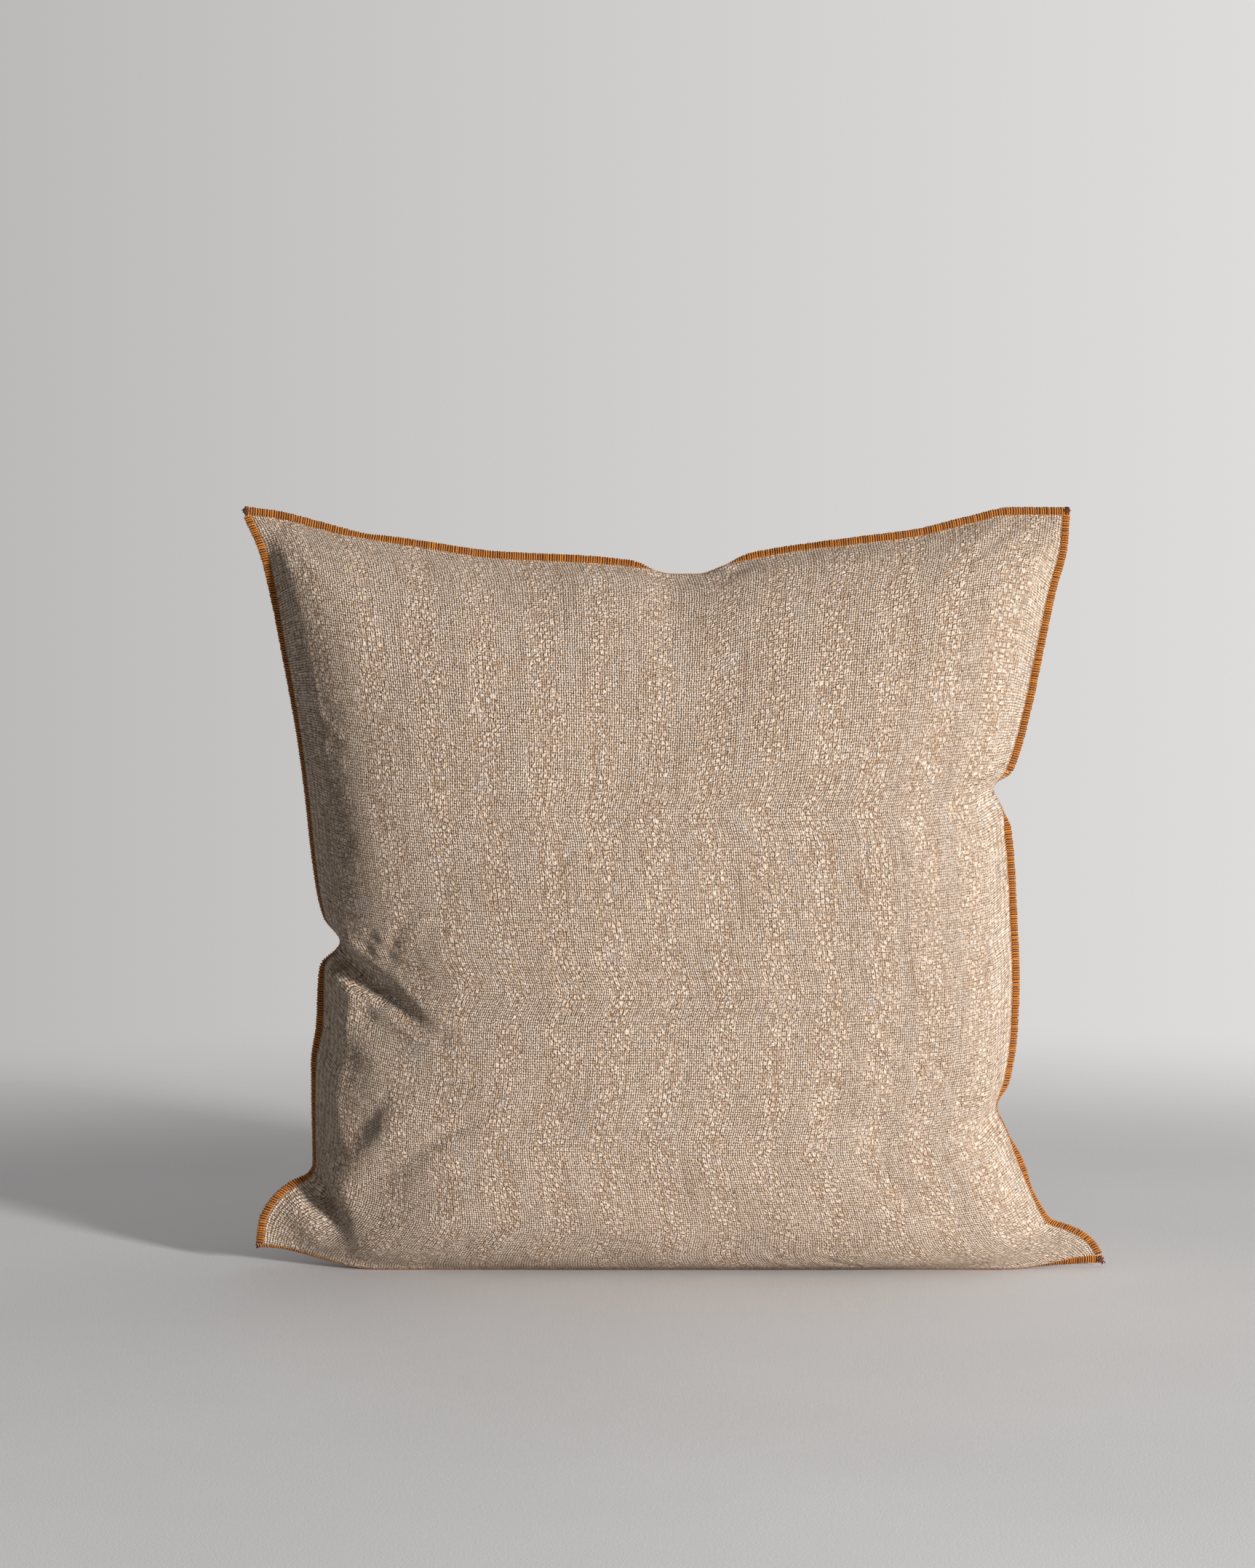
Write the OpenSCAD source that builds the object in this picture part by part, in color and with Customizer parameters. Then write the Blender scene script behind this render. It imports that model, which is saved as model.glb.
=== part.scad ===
// Throw pillow: a square woven cover with overlocked edges and a zip across the back, over a
// feather insert. It stands on its lower edge and leans back a little.
// X runs across, Y from front to back, Z up. The origin is the middle of the base. Millimetres.

/* [Cover] */
// Height of the standing cover, from the surface to its upper corners
stand_h = 452; // [440:1:460]
// Distance between the two upper corners
top_w = 485; // [475:1:495]
// Distance between the two lower corners
base_w = 500; // [490:1:506]
// How far the upper edge lies to the right of the lower one
top_shift = -14; // [-20:1:20]
// Depth of the stuffed cover, from front to back
depth = 166; // [160:2:180]
// Lean of the cover to the back, in degrees
lean = 3; // [0:1:4]
// How far each side edge is drawn in halfway up
pull_side = 37; // [30:1:40]
// How far the upper edge is drawn down at its middle
pull_top = 34; // [20:1:40]
// How far the lower seam lies in front of the cover's middle
base_shift = 33; // [26:1:36]
// Thickness of the woven cloth
cloth_t = 1.6; // [1.4:0.1:1.8]

/* [Edging] */
// Width of the overlocked edge
edging_w = 5; // [4.5:0.5:6]
// Thickness of the thread wrapped round the edge
thread_t = 0.6; // [0.4:0.1:0.8]

/* [Zip] */
// Length of the zip's chain
zip_l = 320; // [280:10:330]
// Height of the zip above the surface
zip_z = 66; // [64:1:70]
// Width of the opening between the two hems
slot_w = 10; // [9.6:0.2:10.6]
// Width of the hem that is folded under along the opening
hem_w = 8; // [7:1:9]
// Length of the pull tab
tab_l = 24; // [18:1:26]

/* [Insert] */
// Distance from the cover's seam to the insert's seam
insert_ease = 12; // [11:1:14]
// Thickness of the insert's ticking
ticking_t = 0.6; // [0.5:0.1:0.8]

/* [Hidden] */

LINEN = [0.79, 0.69, 0.57];
RUST = [0.74, 0.38, 0.08];
KNOT = [0.26, 0.12, 0.09];
TAPE = [0.72, 0.64, 0.54];
NYLON = [0.60, 0.50, 0.38];
BRASS = [0.62, 0.50, 0.30];
TICKING = [0.93, 0.92, 0.89];
FEATHER = [0.96, 0.95, 0.92];

contact = 0.05;     // gap between two pieces that lie face to face
wide_z = 190;       // height at which the cover is deepest
shoulder_z = 262;   // height from which the sides run out to the upper corners
heel_z = 62;        // height from which they run out to the lower corners
pinch = 12;         // depth of the short dent in each side edge
pinch_left_z = 195;
pinch_right_z = 283;
pinch_w = 17;
corner_z = 9;       // height of the seam at the lower corners
turn_s = 0.6;       // place across at which the lower seam starts to turn upright
sink = 13;          // depth by which the surface flattens the base
round_front = 1.6;  // squareness of the front's upright section below the widest height
round_back = 3.5;   // and of the back's
round_top = 2.3;    // and of both above it
round_across = 3.2; // squareness of the level section

allowance = edging_w - thread_t - contact;
fin_t = contact + cloth_t;
lip = 1.7;           // distance from a seam at which its edging starts
insert_lip = 2.4;    // and from the insert's seam at which its binding starts
twist_gap = 0.4;     // room under the edging where the lower seam turns
low_z = fin_t + twist_gap + contact + thread_t + 0.1; // height of the lower seam at its middle

// ---- outline and section of the stuffed cover ----

function mix(a, b, t) = a + (b - a) * t;
function smooth(a, b, x) = let (t = min(1, max(0, (x - a) / (b - a)))) t * t * (3 - 2 * t);
function dent_at(x, place, width) = exp(-pow((x - place) / width, 2));

x_low = min(-base_w / 2, top_shift - top_w / 2);
x_high = max(base_w / 2, top_shift + top_w / 2);
function middle_x(z) = top_shift * z / stand_h - (x_low + x_high) / 2;
function mid_y(z) = (z - wide_z) * tan(lean) - 1;

// Share of the drawing-in that is let go towards the corners
function ear(z) = z > shoulder_z ? pow((z - shoulder_z) / (stand_h - edging_w - shoulder_z), 1.3)
    : z < heel_z ? pow(min(1, (heel_z - z) / (heel_z - corner_z)), 1.4) : 0;

// Side seam, with side -1 at the left and 1 at the right
function side_x(side, z) = middle_x(z) + side * (mix(base_w, top_w, z / stand_h) / 2 - edging_w
    - pull_side * (1 - ear(z))
    - pinch * dent_at(z, side < 0 ? pinch_left_z : pinch_right_z, pinch_w));

// A place across, with s from -1 to 1, at a distance edge inside the side seams
function across_x(s, z, edge) = mix(side_x(-1, z) + edge, side_x(1, z) - edge, (s + 1) / 2);

function top_z(s, edge) = stand_h - edging_w - edge - pull_top * (1 - pow(abs(s), 1.5));

// The lower seam lies flat on the surface, pointing to the front, and turns upright at the corners
function turn(s) = 90 * smooth(turn_s, 1, abs(s));
function base_out(s) = [0, -cos(turn(s)), -sin(turn(s))];
function base_normal(s) = [0, -sin(turn(s)), cos(turn(s))];
function base_z(s, edge) = mix(low_z, corner_z, turn(s) / 90)
    + mix(0.24 * edge, edge, turn(s) / 90);
function base_y(s, edge) = (base_shift - 0.7 * edge) * cos(turn(s));
function base_seam(s, edge) = let (z = base_z(s, edge))
    [across_x(s, z, edge), mid_y(z) - base_y(s, edge), z];

// Zip: the cloth round it is held flat in a plane that follows the back
zip_tilt = 12;
zip_y = mid_y(zip_z) + 0.89 * depth / 2;
function zip_plane(z) = zip_y + (z - zip_z) * tan(zip_tilt);
function zip_hold(x, z) = (1 - smooth(zip_l / 2 + 8, zip_l / 2 + 42, abs(x)))
    * (1 - smooth(17, 44, abs(z - zip_z)));
function slot_half(x) = mix(slot_w / 2, 0.15, smooth(zip_l / 2 + 3, zip_l / 2 + 13, abs(x)))
    * cos(zip_tilt);

// ---- layers of cloth ----

// Each layer: its distance inside the cover's outer surface, its distance from the middle at the
// seam, its seam's distance inside the cover's, how far it gives way behind the zip, whether the
// zip's opening parts it, and how far its front steps back where it turns up at the lower seam
COVER_OUT = [0, fin_t, 0, 0, 1, 0];
COVER_IN = [cloth_t, contact, 0, 0, 1, cloth_t];
TICK_OUT = [cloth_t + 1.6, contact + ticking_t, insert_ease, 3.4, 0, 0];
TICK_IN = TICK_OUT + [ticking_t, -ticking_t, 0, 0, 0, ticking_t];
FILL_OUT = TICK_IN + [3, 0.4, 8, 1, 0, 0];

// Fullness from 0 at the seam to 1 at the widest height
function fullness(face, z, low, high) = let (
    r = z < wide_z ? (wide_z - z) / (wide_z - low) : (z - wide_z) / (high - wide_z),
    p = z > wide_z ? round_top : face < 0 ? round_front : round_back)
    pow(1 - pow(min(1, r), p), 1 / p);
function fullness_across(s) = pow(1 - pow(min(1, abs(s)), round_across), 1 / round_across);

// A point of a layer's face (-1 in front, 1 behind). row is [part, share]: part 0 is the lower
// seam, part 1 runs from there to the zip's height and part 2 from there to the upper seam.
function layer_point(layer, face, s, row) = let (
    inset = layer[0],
    rim = layer[1],
    edge = layer[2],
    seam = base_seam(s, edge),
    low = face < 0 ? seam[2] + 3 * cos(turn(s)) : mix(-sink, seam[2], smooth(0.6, 0.84, abs(s))),
    high = top_z(s, edge),
    slot = face > 0 ? layer[4] * slot_half(across_x(s, zip_z, edge)) : 0,
    z = row[0] == 1 ? mix(low, zip_z - slot, row[1]) : mix(zip_z + slot, high, row[1]),
    u = fullness(face, z, low, high),
    d = rim + (depth / 2 - inset - rim) * fullness_across(s) * u,
    ease = face > 0 ? edge * (1 - smooth(0, 0.4, u)) : edge,
    forward = z < wide_z ? base_y(s, ease) * (1 - u) : 0,
    z_flat = max(z, inset),
    x = across_x(s, z_flat, edge),
    y = mid_y(z_flat) - forward + face * d,
    hold = face > 0 ? zip_hold(x, z_flat) * smooth(0, 12, d - rim) : 0
) row[0] == 0
    ? seam - face * rim * base_normal(s)
        - (face < 0 && row[2] == 0 ? layer[5] * cos(turn(s)) : 0) * base_out(s)
    : [x, mix(y, zip_plane(z_flat) - inset - layer[3], hold), z_flat];

// Places across a panel, and up it. The last number of each is 1 on a seam allowance.
function zip_s(x) = 2 * (x - side_x(-1, zip_z)) / (side_x(1, zip_z) - side_x(-1, zip_z)) - 1;
zip_places = [zip_s(-zip_l / 2 - 13), zip_s(-zip_l / 2 - 3), zip_s(zip_l / 2 + 3), zip_s(zip_l / 2 + 13)];
function places_across(n) = let (
    even = [for (i = [0:n]) -cos(180 * i / n)],
    bounds = concat([-1.1], zip_places, [1.1])
) concat([[-1, -1]], [for (k = [0:4]) each concat(
    [for (s = even) if (s > bounds[k] + 0.02 && s < bounds[k + 1] - 0.02) [s, 0]],
    k < 4 ? [[zip_places[k], 0]] : [])], [[1, 1]]);
flat_share = sink / (zip_z + sink); // share of the lower part at which the base leaves the surface
function rows_low(n) = concat([[0, 0, -1], [0, 0, 0], [1, 0.0004, 0], [1, flat_share / 3, 0]],
    [for (j = [0:n]) [1, mix(flat_share, 1, pow(j / n, 1.5)), 0]]);
function rows_high(n) = concat([for (j = [1:n]) [2, pow(sin(90 * j / n), 1.5), 0]], [[2, 1, 1]]);

cover_across = places_across(24);
cover_low = rows_low(8);
cover_high = rows_high(20);
insert_across = places_across(18);
insert_rows = concat(rows_low(8), rows_high(13));

function face_grid(layer, face, places, rows, fin) = [for (a = places) [for (row = rows)
    layer_point(layer, face, a[0], row) + [a[1] * fin, 0, 0]
    + (row[2] < 0 ? fin * base_out(a[0]) : [0, 0, row[2] * fin])]];

// A closed solid between two grids of points of the same size
module slab(outer, inner) {
    m = len(outer) - 1;
    n = len(outer[0]) - 1;
    w = n + 1;
    base = (m + 1) * w;
    points = concat([for (line = outer) each line], [for (line = inner) each line]);
    skin = [for (i = [0:m - 1], j = [0:n - 1]) let (a = i * w + j)
        each i < m / 2 ? [[a, a + w, a + 1], [a + 1, a + w, a + w + 1]]
            : [[a, a + w + 1, a + 1], [a, a + w, a + w + 1]]];
    lining = [for (f = skin) [f[2] + base, f[1] + base, f[0] + base]];
    rim = concat(
        [for (i = [0:m - 1]) [i * w + w, i * w]],
        [for (i = [0:m - 1]) [i * w + n, i * w + w + n]],
        [for (j = [0:n - 1]) [j, j + 1]],
        [for (j = [0:n - 1]) [m * w + j + 1, m * w + j]]);
    walls = [for (e = rim) each [[e[0], e[1], e[1] + base], [e[0], e[1] + base, e[0] + base]]];
    polyhedron(points, concat(skin, lining, walls));
}

// The face in front has its outside to -Y, so its grid is handed over the other way round
module cover_face(face, rows) {
    outer = face_grid(COVER_OUT, face, cover_across, rows, allowance);
    inner = face_grid(COVER_IN, face, cover_across, rows, allowance);
    if (face < 0)
        slab(inner, outer);
    else
        slab(outer, inner);
}

module insert_face(face) {
    outer = face_grid(TICK_OUT, face, insert_across, insert_rows, 4);
    inner = face_grid(TICK_IN, face, insert_across, insert_rows, 4);
    if (face < 0)
        slab(inner, outer);
    else
        slab(outer, inner);
}

// ---- edging ----

// Thread wrapped round a seam allowance, along a list of [point, way out, normal], the normal
// being square to the line and the way out. half is half the allowance's thickness, reach its
// width, wrap the thread's thickness and start its distance from the seam.
module wrapped(line, half, reach, wrap, start) {
    h = half + contact;
    e = reach + contact;
    outside = [[start, h + wrap], [e - 0.4, h + wrap], [e + wrap, h * 0.6], [e + wrap, -h * 0.6],
        [e - 0.4, -h - wrap], [start, -h - wrap]];
    inside = [[start, h], [e - 0.6, h], [e, h], [e, -h], [e - 0.6, -h], [start, -h]];
    function ring(place, outline) = [for (p = outline) place[0] + p[0] * place[1] + p[1] * place[2]];
    slab([for (place = line) ring(place, inside)], [for (place = line) ring(place, outside)]);
}

function base_line(places, edge, over) = [for (a = places)
    [base_seam(a[0], edge) + [a[1] * over, 0, 0], base_out(a[0]), -base_normal(a[0])]];
function top_line(places, edge, over) = [for (a = places) let (z = top_z(a[0], edge))
    [[across_x(a[0], z, edge) + a[1] * over, mid_y(z), z], [0, 0, 1], [0, -1, 0]]];
function side_line(side, rows, edge) = [for (row = rows) if (row[0] > 0 && row[2] == 0)
    let (low = base_z(side, edge), high = top_z(side, edge),
        z = row[0] == 1 ? mix(low, zip_z, row[1]) : mix(zip_z, high, row[1]))
    [[side_x(side, z) - side * edge, mid_y(z), z], [side, 0, 0], [0, side, 0]]];

// ---- modules of the sub-parts ----

module front_panel() {
    color(LINEN) cover_face(-1, concat(cover_low, cover_high));
}

// A hem folded under along one side of the opening
module hem(side) {
    length = zip_l + 20;
    start = slot_w / 2 + 0.2;
    translate([-length / 2, -2 * cloth_t, side > 0 ? start : -start - hem_w])
        cube([length, cloth_t * 1.4, hem_w]);
}

module at_zip() {
    translate([0, zip_y, zip_z]) rotate([-zip_tilt, 0, 0]) children();
}

module back_panel_upper() {
    color(LINEN) {
        cover_face(1, concat([[2, 0, 0]], cover_high));
        at_zip() hem(1);
    }
}

module back_panel_lower() {
    color(LINEN) {
        cover_face(1, cover_low);
        at_zip() hem(-1);
    }
}

module edging_top() {
    color(RUST) wrapped(top_line(cover_across, 0, edging_w), fin_t, allowance, thread_t, lip);
}

module edging_bottom() {
    color(RUST)
        wrapped(base_line(cover_across, 0, edging_w), fin_t + twist_gap, allowance, thread_t, lip);
}

module edging_side(side) {
    color(RUST) wrapped(side_line(side, concat(cover_low, cover_high), 0), fin_t, allowance, thread_t, lip);
}

// A knot of thread ends at a corner, with side and up giving the corner
module knot(side, up) {
    z = up > 0 ? top_z(1, 0) : base_z(1, 0);
    color(KNOT) translate([side_x(side, z), mid_y(z), z]) {
        translate([side * (edging_w + 1.3), 0, up * (edging_w + 1.1)]) {
            sphere(1.5, $fn = 12);
            rotate([0, side * (up > 0 ? 65 : 100), 0]) cylinder(h = 3.2, r1 = 1, r2 = 0.6, $fn = 12);
        }
    }
}

// ---- zip, in its own frame: X along it, Y out of the cloth, Z up the cloth ----

chain_gap = 1.5;        // opening between the two rows of coil, for the slider's neck
coil_w = 2.5;
coil_h = 2;
tape_w = 12;
tape_t = 0.6;
tape_y = -2 * cloth_t - contact; // outer side of the tapes
plate_l = 10;
plate_w = 8.6;
plate_t = 1.1;
plate_low_y = tape_y - tape_t - 0.35;       // upper side of the lower plate
plate_high_y = tape_y + contact + coil_h + 0.35; // lower side of the upper plate
stop_x = zip_l / 2 - 3;
travel = 2 * stop_x - plate_l - 3;
home_x = travel / 2;
bar_y = plate_high_y + plate_t + 2.3;
bar_r = 0.7;
knuckle_r = 1.75;
tab_w = 7;

module zip_tape(side) {
    color(TAPE) at_zip()
        translate([-zip_l / 2 - 8, tape_y - tape_t, side > 0 ? chain_gap / 2 : -chain_gap / 2 - tape_w])
            cube([zip_l + 16, tape_t, tape_w]);
}

// One row of coil: a core with a rounded turn at every pitch
module zip_coil(side) {
    pitch = 3.2;
    count = floor((zip_l - 12) / pitch);
    color(NYLON) at_zip() translate([0, tape_y + contact, side * (chain_gap / 2 + coil_w / 2)]) {
        translate([-zip_l / 2 + 4.5, 0, -coil_w / 2 + (side > 0 ? 0.7 : 0)])
            cube([zip_l - 9, coil_h * 0.6, coil_w - 0.7]);
        for (i = [0:count - 1])
            translate([(i - (count - 1) / 2) * pitch, 0, -coil_w / 2])
                translate([-1, 0, 0]) cube([2, coil_h, coil_w]);
    }
}

// A clamp on one row of coil
module stop(side) {
    translate([0, tape_y + contact + coil_h / 2, side * (chain_gap / 2 + coil_w / 2)])
        cube([2.4, coil_h + 0.5, coil_w + 0.1], center = true);
}

module zip_stops_closed() {
    color(BRASS) at_zip() for (side = [-1, 1]) translate([stop_x, 0.3, 0]) stop(side);
}

module zip_stop_open() {
    color(BRASS) at_zip() translate([-stop_x, 0.3, 0]) {
        stop(-1);
        stop(1);
        translate([0, tape_y + coil_h / 2 + 0.5, 0]) cube([2.4, 1, chain_gap + 1], center = true);
    }
}

// Two plates joined by a neck that runs between the rows, and a bail over the upper plate
module zip_slider() {
    neck_w = chain_gap - 0.7;
    lip_t = 0.8;
    color(BRASS) at_zip() translate([home_x, 0, 0]) {
        translate([-plate_l / 2, plate_low_y - plate_t, -plate_w / 2])
            cube([plate_l, plate_t, plate_w]);
        translate([-plate_l / 2, plate_high_y, -plate_w / 2]) cube([plate_l, plate_t, plate_w]);
        translate([plate_l / 2 - 3, plate_low_y - plate_t / 2, -neck_w / 2])
            cube([2.6, plate_high_y - plate_low_y + plate_t, neck_w]);
        for (side = [-1, 1])
            translate([-plate_l / 2, tape_y + 0.4, side > 0 ? plate_w / 2 - lip_t : -plate_w / 2])
                cube([plate_l, plate_high_y - tape_y, lip_t]);
        for (end = [-1, 1])
            translate([end * 3 - 0.5, plate_high_y + plate_t / 2, -1.2])
                cube([1, bar_y + 0.9 - plate_high_y - plate_t / 2, 2.4]);
        translate([-3, bar_y, 0]) rotate([0, 90, 0]) cylinder(h = 6, r = bar_r, $fn = 48);
    }
}

// Pull tab on the bail, hanging straight down
module zip_pull() {
    knuckle_l = 4.2;
    neck_z = 3.4;
    color(BRASS) at_zip() translate([home_x, bar_y, 0]) rotate([zip_tilt, 0, 0]) difference() {
        union() {
            translate([-knuckle_l / 2, 0, 0]) rotate([0, 90, 0])
                cylinder(h = knuckle_l, r = knuckle_r, $fn = 48);
            translate([-knuckle_l / 2, -0.6, -neck_z - 1]) cube([knuckle_l, 1.2, neck_z]);
            translate([-tab_w / 2, -0.6, -tab_l + tab_w / 2])
                cube([tab_w, 1.2, tab_l - tab_w / 2 - neck_z]);
            translate([0, -0.6, -tab_l + tab_w / 2]) rotate([-90, 0, 0])
                cylinder(h = 1.2, d = tab_w, $fn = 48);
        }
        translate([-knuckle_l / 2 - 1, 0, 0]) rotate([0, 90, 0])
            cylinder(h = knuckle_l + 2, r = bar_r + 0.3, $fn = 48);
        translate([0, -1.6, -tab_l + tab_w / 2]) rotate([-90, 0, 0])
            cylinder(h = 3.2, d = 2.6, $fn = 32);
    }
}

// A row of stitches that holds a hem to its tape
module zip_stitching(side) {
    pitch = 7;
    count = floor((zip_l + 6) / pitch);
    color(TAPE) at_zip() for (i = [0:count - 1])
        translate([(i - count / 2) * pitch + 0.5, 0.36, side * (slot_w / 2 + 3)])
            rotate([0, 90, 0]) cylinder(h = 5.4, r = 0.3, $fn = 12);
}

module zip_bar_tacks() {
    color(TAPE) at_zip() for (end = [-1, 1]) for (i = [0:4])
        translate([end * (zip_l / 2 + 2.5 + 0.9 * i), 0.36, -slot_w / 2 - 2.5])
            cylinder(h = slot_w + 5, r = 0.3, $fn = 12);
}

// ---- insert ----

module insert_front() {
    color(TICKING) insert_face(-1);
}

module insert_back() {
    color(TICKING) insert_face(1);
}

module insert_binding() {
    half = contact + ticking_t;
    color(TICKING) {
        wrapped(top_line(insert_across, insert_ease, 4.5), half, 4, 0.4, insert_lip);
        wrapped(base_line(insert_across, insert_ease, 4.5), half + twist_gap, 4, 0.4, insert_lip + 1);
        for (side = [-1, 1]) wrapped(side_line(side, insert_rows, insert_ease), half, 4, 0.4, insert_lip);
    }
}

module insert_fill() {
    places = [for (a = insert_across) if (a[1] == 0) a];
    rows = [for (row = insert_rows) if (row[2] == 0) row];
    color(FEATHER) slab(face_grid(FILL_OUT, 1, places, rows, 0), face_grid(FILL_OUT, -1, places, rows, 0));
}

front_panel();
back_panel_upper();
back_panel_lower();
edging_top();
edging_bottom();
edging_side(-1);  // edging_left
edging_side(1);  // edging_right
knot(-1, 1);  // knot_top_left
knot(1, 1);  // knot_top_right
knot(-1, -1);  // knot_bottom_left
knot(1, -1);  // knot_bottom_right
zip_tape(1);  // zip_tape_upper
zip_tape(-1);  // zip_tape_lower
zip_coil(1);  // zip_coil_upper
zip_coil(-1);  // zip_coil_lower
zip_stops_closed();
zip_stop_open();
zip_slider();
zip_pull();
zip_stitching(1);  // zip_stitching_upper
zip_stitching(-1);  // zip_stitching_lower
zip_bar_tacks();
insert_front();
insert_back();
insert_binding();
insert_fill();
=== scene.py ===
"""Throw pillow: a stuffed woven cover with overlocked edges and a zip across its back, built round
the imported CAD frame. Metres, +Z up, the front faces -Y."""
import math

import bmesh
import bpy
import numpy as np
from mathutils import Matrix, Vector


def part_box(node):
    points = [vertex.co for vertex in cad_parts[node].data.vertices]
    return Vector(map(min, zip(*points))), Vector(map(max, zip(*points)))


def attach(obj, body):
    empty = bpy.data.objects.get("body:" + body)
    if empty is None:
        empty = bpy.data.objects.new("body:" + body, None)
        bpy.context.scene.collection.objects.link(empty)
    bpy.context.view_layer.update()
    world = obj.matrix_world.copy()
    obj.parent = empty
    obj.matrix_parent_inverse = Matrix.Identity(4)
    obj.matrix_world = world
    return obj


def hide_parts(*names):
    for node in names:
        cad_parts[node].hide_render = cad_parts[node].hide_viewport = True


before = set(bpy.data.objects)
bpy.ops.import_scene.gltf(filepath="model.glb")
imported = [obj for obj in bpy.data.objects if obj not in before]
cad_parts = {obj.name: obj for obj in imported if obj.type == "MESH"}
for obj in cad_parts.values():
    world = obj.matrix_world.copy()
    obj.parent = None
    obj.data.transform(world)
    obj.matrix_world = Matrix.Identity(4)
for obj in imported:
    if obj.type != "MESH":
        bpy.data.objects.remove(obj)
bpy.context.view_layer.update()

MM = 0.001
BODY = "cover"

# ---- driving sizes, from the frame ----

TOP_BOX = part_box("edging_top")
BASE_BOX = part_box("edging_bottom")
FRONT_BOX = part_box("front_panel")
BACK_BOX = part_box("back_panel_upper")
TAPE_UP_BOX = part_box("zip_tape_upper")
TAPE_LOW_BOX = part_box("zip_tape_lower")
COIL_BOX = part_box("zip_coil_upper")
STOP_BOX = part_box("zip_stops_closed")

EDGING = 5 * MM              # width of the overlocked edge
FLAT = 500 * MM              # side of the cover laid flat, edging included
PANEL = FLAT - 2 * EDGING    # side of a panel between its seams
CLOTH = 1.4 * MM             # thickness of the woven cloth
PRESSED = 0.9 * MM           # and of each layer where the edging presses it flat
THREAD = 0.6 * MM            # thickness of the edging's thread

WIDER = 4 * MM               # how much further out the corners stand than the CAD's seams
CORNER_TOP_Z = TOP_BOX[1].z - EDGING + WIDER / 2
TOP_LEFT_X = TOP_BOX[0].x + EDGING - WIDER
TOP_RIGHT_X = TOP_BOX[1].x - EDGING + WIDER
BASE_LEFT_X = BASE_BOX[0].x + EDGING - WIDER
BASE_RIGHT_X = BASE_BOX[1].x - EDGING + WIDER
SEAM_TOP_Y = (TOP_BOX[0].y + TOP_BOX[1].y) / 2
LEAN = math.tan(math.radians(3))  # of the standing cover, to the back
DEPTH = BACK_BOX[1].y - FRONT_BOX[0].y
WIDE_Z = 190 * MM            # height at which the cover is deepest
CLEAR = 0.3 * MM             # between the cover and the surface it stands on


def mid_y(z):
    """Where the plane of the side seams stands at height z."""
    return SEAM_TOP_Y + (z - CORNER_TOP_Z) * LEAN


# The zip's own frame: X along it, `out` away from the cloth and `up` along the cloth
ZIP_TILT = math.radians(12)
ZIP_OUT = Vector((0, math.cos(ZIP_TILT), -math.sin(ZIP_TILT)))
ZIP_UP = Vector((0, math.sin(ZIP_TILT), math.cos(ZIP_TILT)))
TAPE_DEPTH = 3.55 * MM       # from the cloth's outside to the middle of the tapes
ZIP_MIDDLE = Vector((0, (TAPE_UP_BOX[0].y + TAPE_LOW_BOX[1].y) / 2,
                     (TAPE_UP_BOX[0].z + TAPE_LOW_BOX[1].z) / 2)) + ZIP_OUT * TAPE_DEPTH
ZIP_HALF = COIL_BOX[1].x + 4 * MM   # half the length of the opening
SLOT_HALF = 5 * MM                  # and half its height


# ---- curves and grids ----

def smooth(low, high, x):
    """0 below low, 1 above high and an even curve between them."""
    t = np.clip((np.asarray(x, float) - low) / (high - low), 0, 1)
    return t * t * (3 - 2 * t)


def unit(v):
    return v / np.maximum(np.linalg.norm(v, axis=-1, keepdims=True), 1e-12)


def through(points, x):
    """A smooth curve through points of (place, value) that never overshoots them."""
    px = np.array([p[0] for p in points], float)
    py = np.array([p[1] for p in points], float)
    h = np.diff(px)
    slope = np.diff(py) / h
    tangent = np.zeros(len(px))
    tangent[0], tangent[-1] = slope[0], slope[-1]
    for i in range(1, len(px) - 1):
        if slope[i - 1] * slope[i] > 0:
            a, b = 2 * h[i] + h[i - 1], h[i] + 2 * h[i - 1]
            tangent[i] = (a + b) / (a / slope[i - 1] + b / slope[i])
    x = np.clip(np.asarray(x, float), px[0], px[-1])
    i = np.clip(np.searchsorted(px, x, side="right") - 1, 0, len(px) - 2)
    t = (x - px[i]) / h[i]
    return ((2 * t ** 3 - 3 * t ** 2 + 1) * py[i] + (t ** 3 - 2 * t ** 2 + t) * h[i] * tangent[i]
            + (3 * t ** 2 - 2 * t ** 3) * py[i + 1] + (t ** 3 - t ** 2) * h[i] * tangent[i + 1])


def lengths(points):
    """How far along a polyline each of its points lies."""
    steps = np.linalg.norm(np.diff(points, axis=0), axis=1)
    return np.concatenate([[0], np.cumsum(steps)])


def at_shares(points, shares):
    """Points of a polyline at shares of its length."""
    run = lengths(points)
    return np.stack([np.interp(np.asarray(shares) * run[-1], run, points[:, k]) for k in range(3)], 1)


def finer(values, n, axis):
    """Values resampled n times as densely along an axis, on a smooth curve through the old ones."""
    v = np.moveaxis(values, axis, 0)
    ends = np.concatenate([2 * v[:1] - v[1:2], v, 2 * v[-1:] - v[-2:-1]])
    place = np.arange((len(v) - 1) * n + 1) / n
    i = np.minimum(place.astype(int), len(v) - 2)
    t = (place - i).reshape((-1,) + (1,) * (v.ndim - 1))
    a, b, c, d = ends[i], ends[i + 1], ends[i + 2], ends[i + 3]
    out = 0.5 * (2 * b + (c - a) * t + (2 * a - 5 * b + 4 * c - d) * t ** 2
                 + (3 * b - a - 3 * c + d) * t ** 3)
    return np.moveaxis(out, 0, axis)


def normals(grid, face):
    """Unit normals of a grid [row, column], pointing out of that face (-1 in front, 1 behind)."""
    return -face * unit(np.cross(np.gradient(grid, axis=1), np.gradient(grid, axis=0)))


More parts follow.
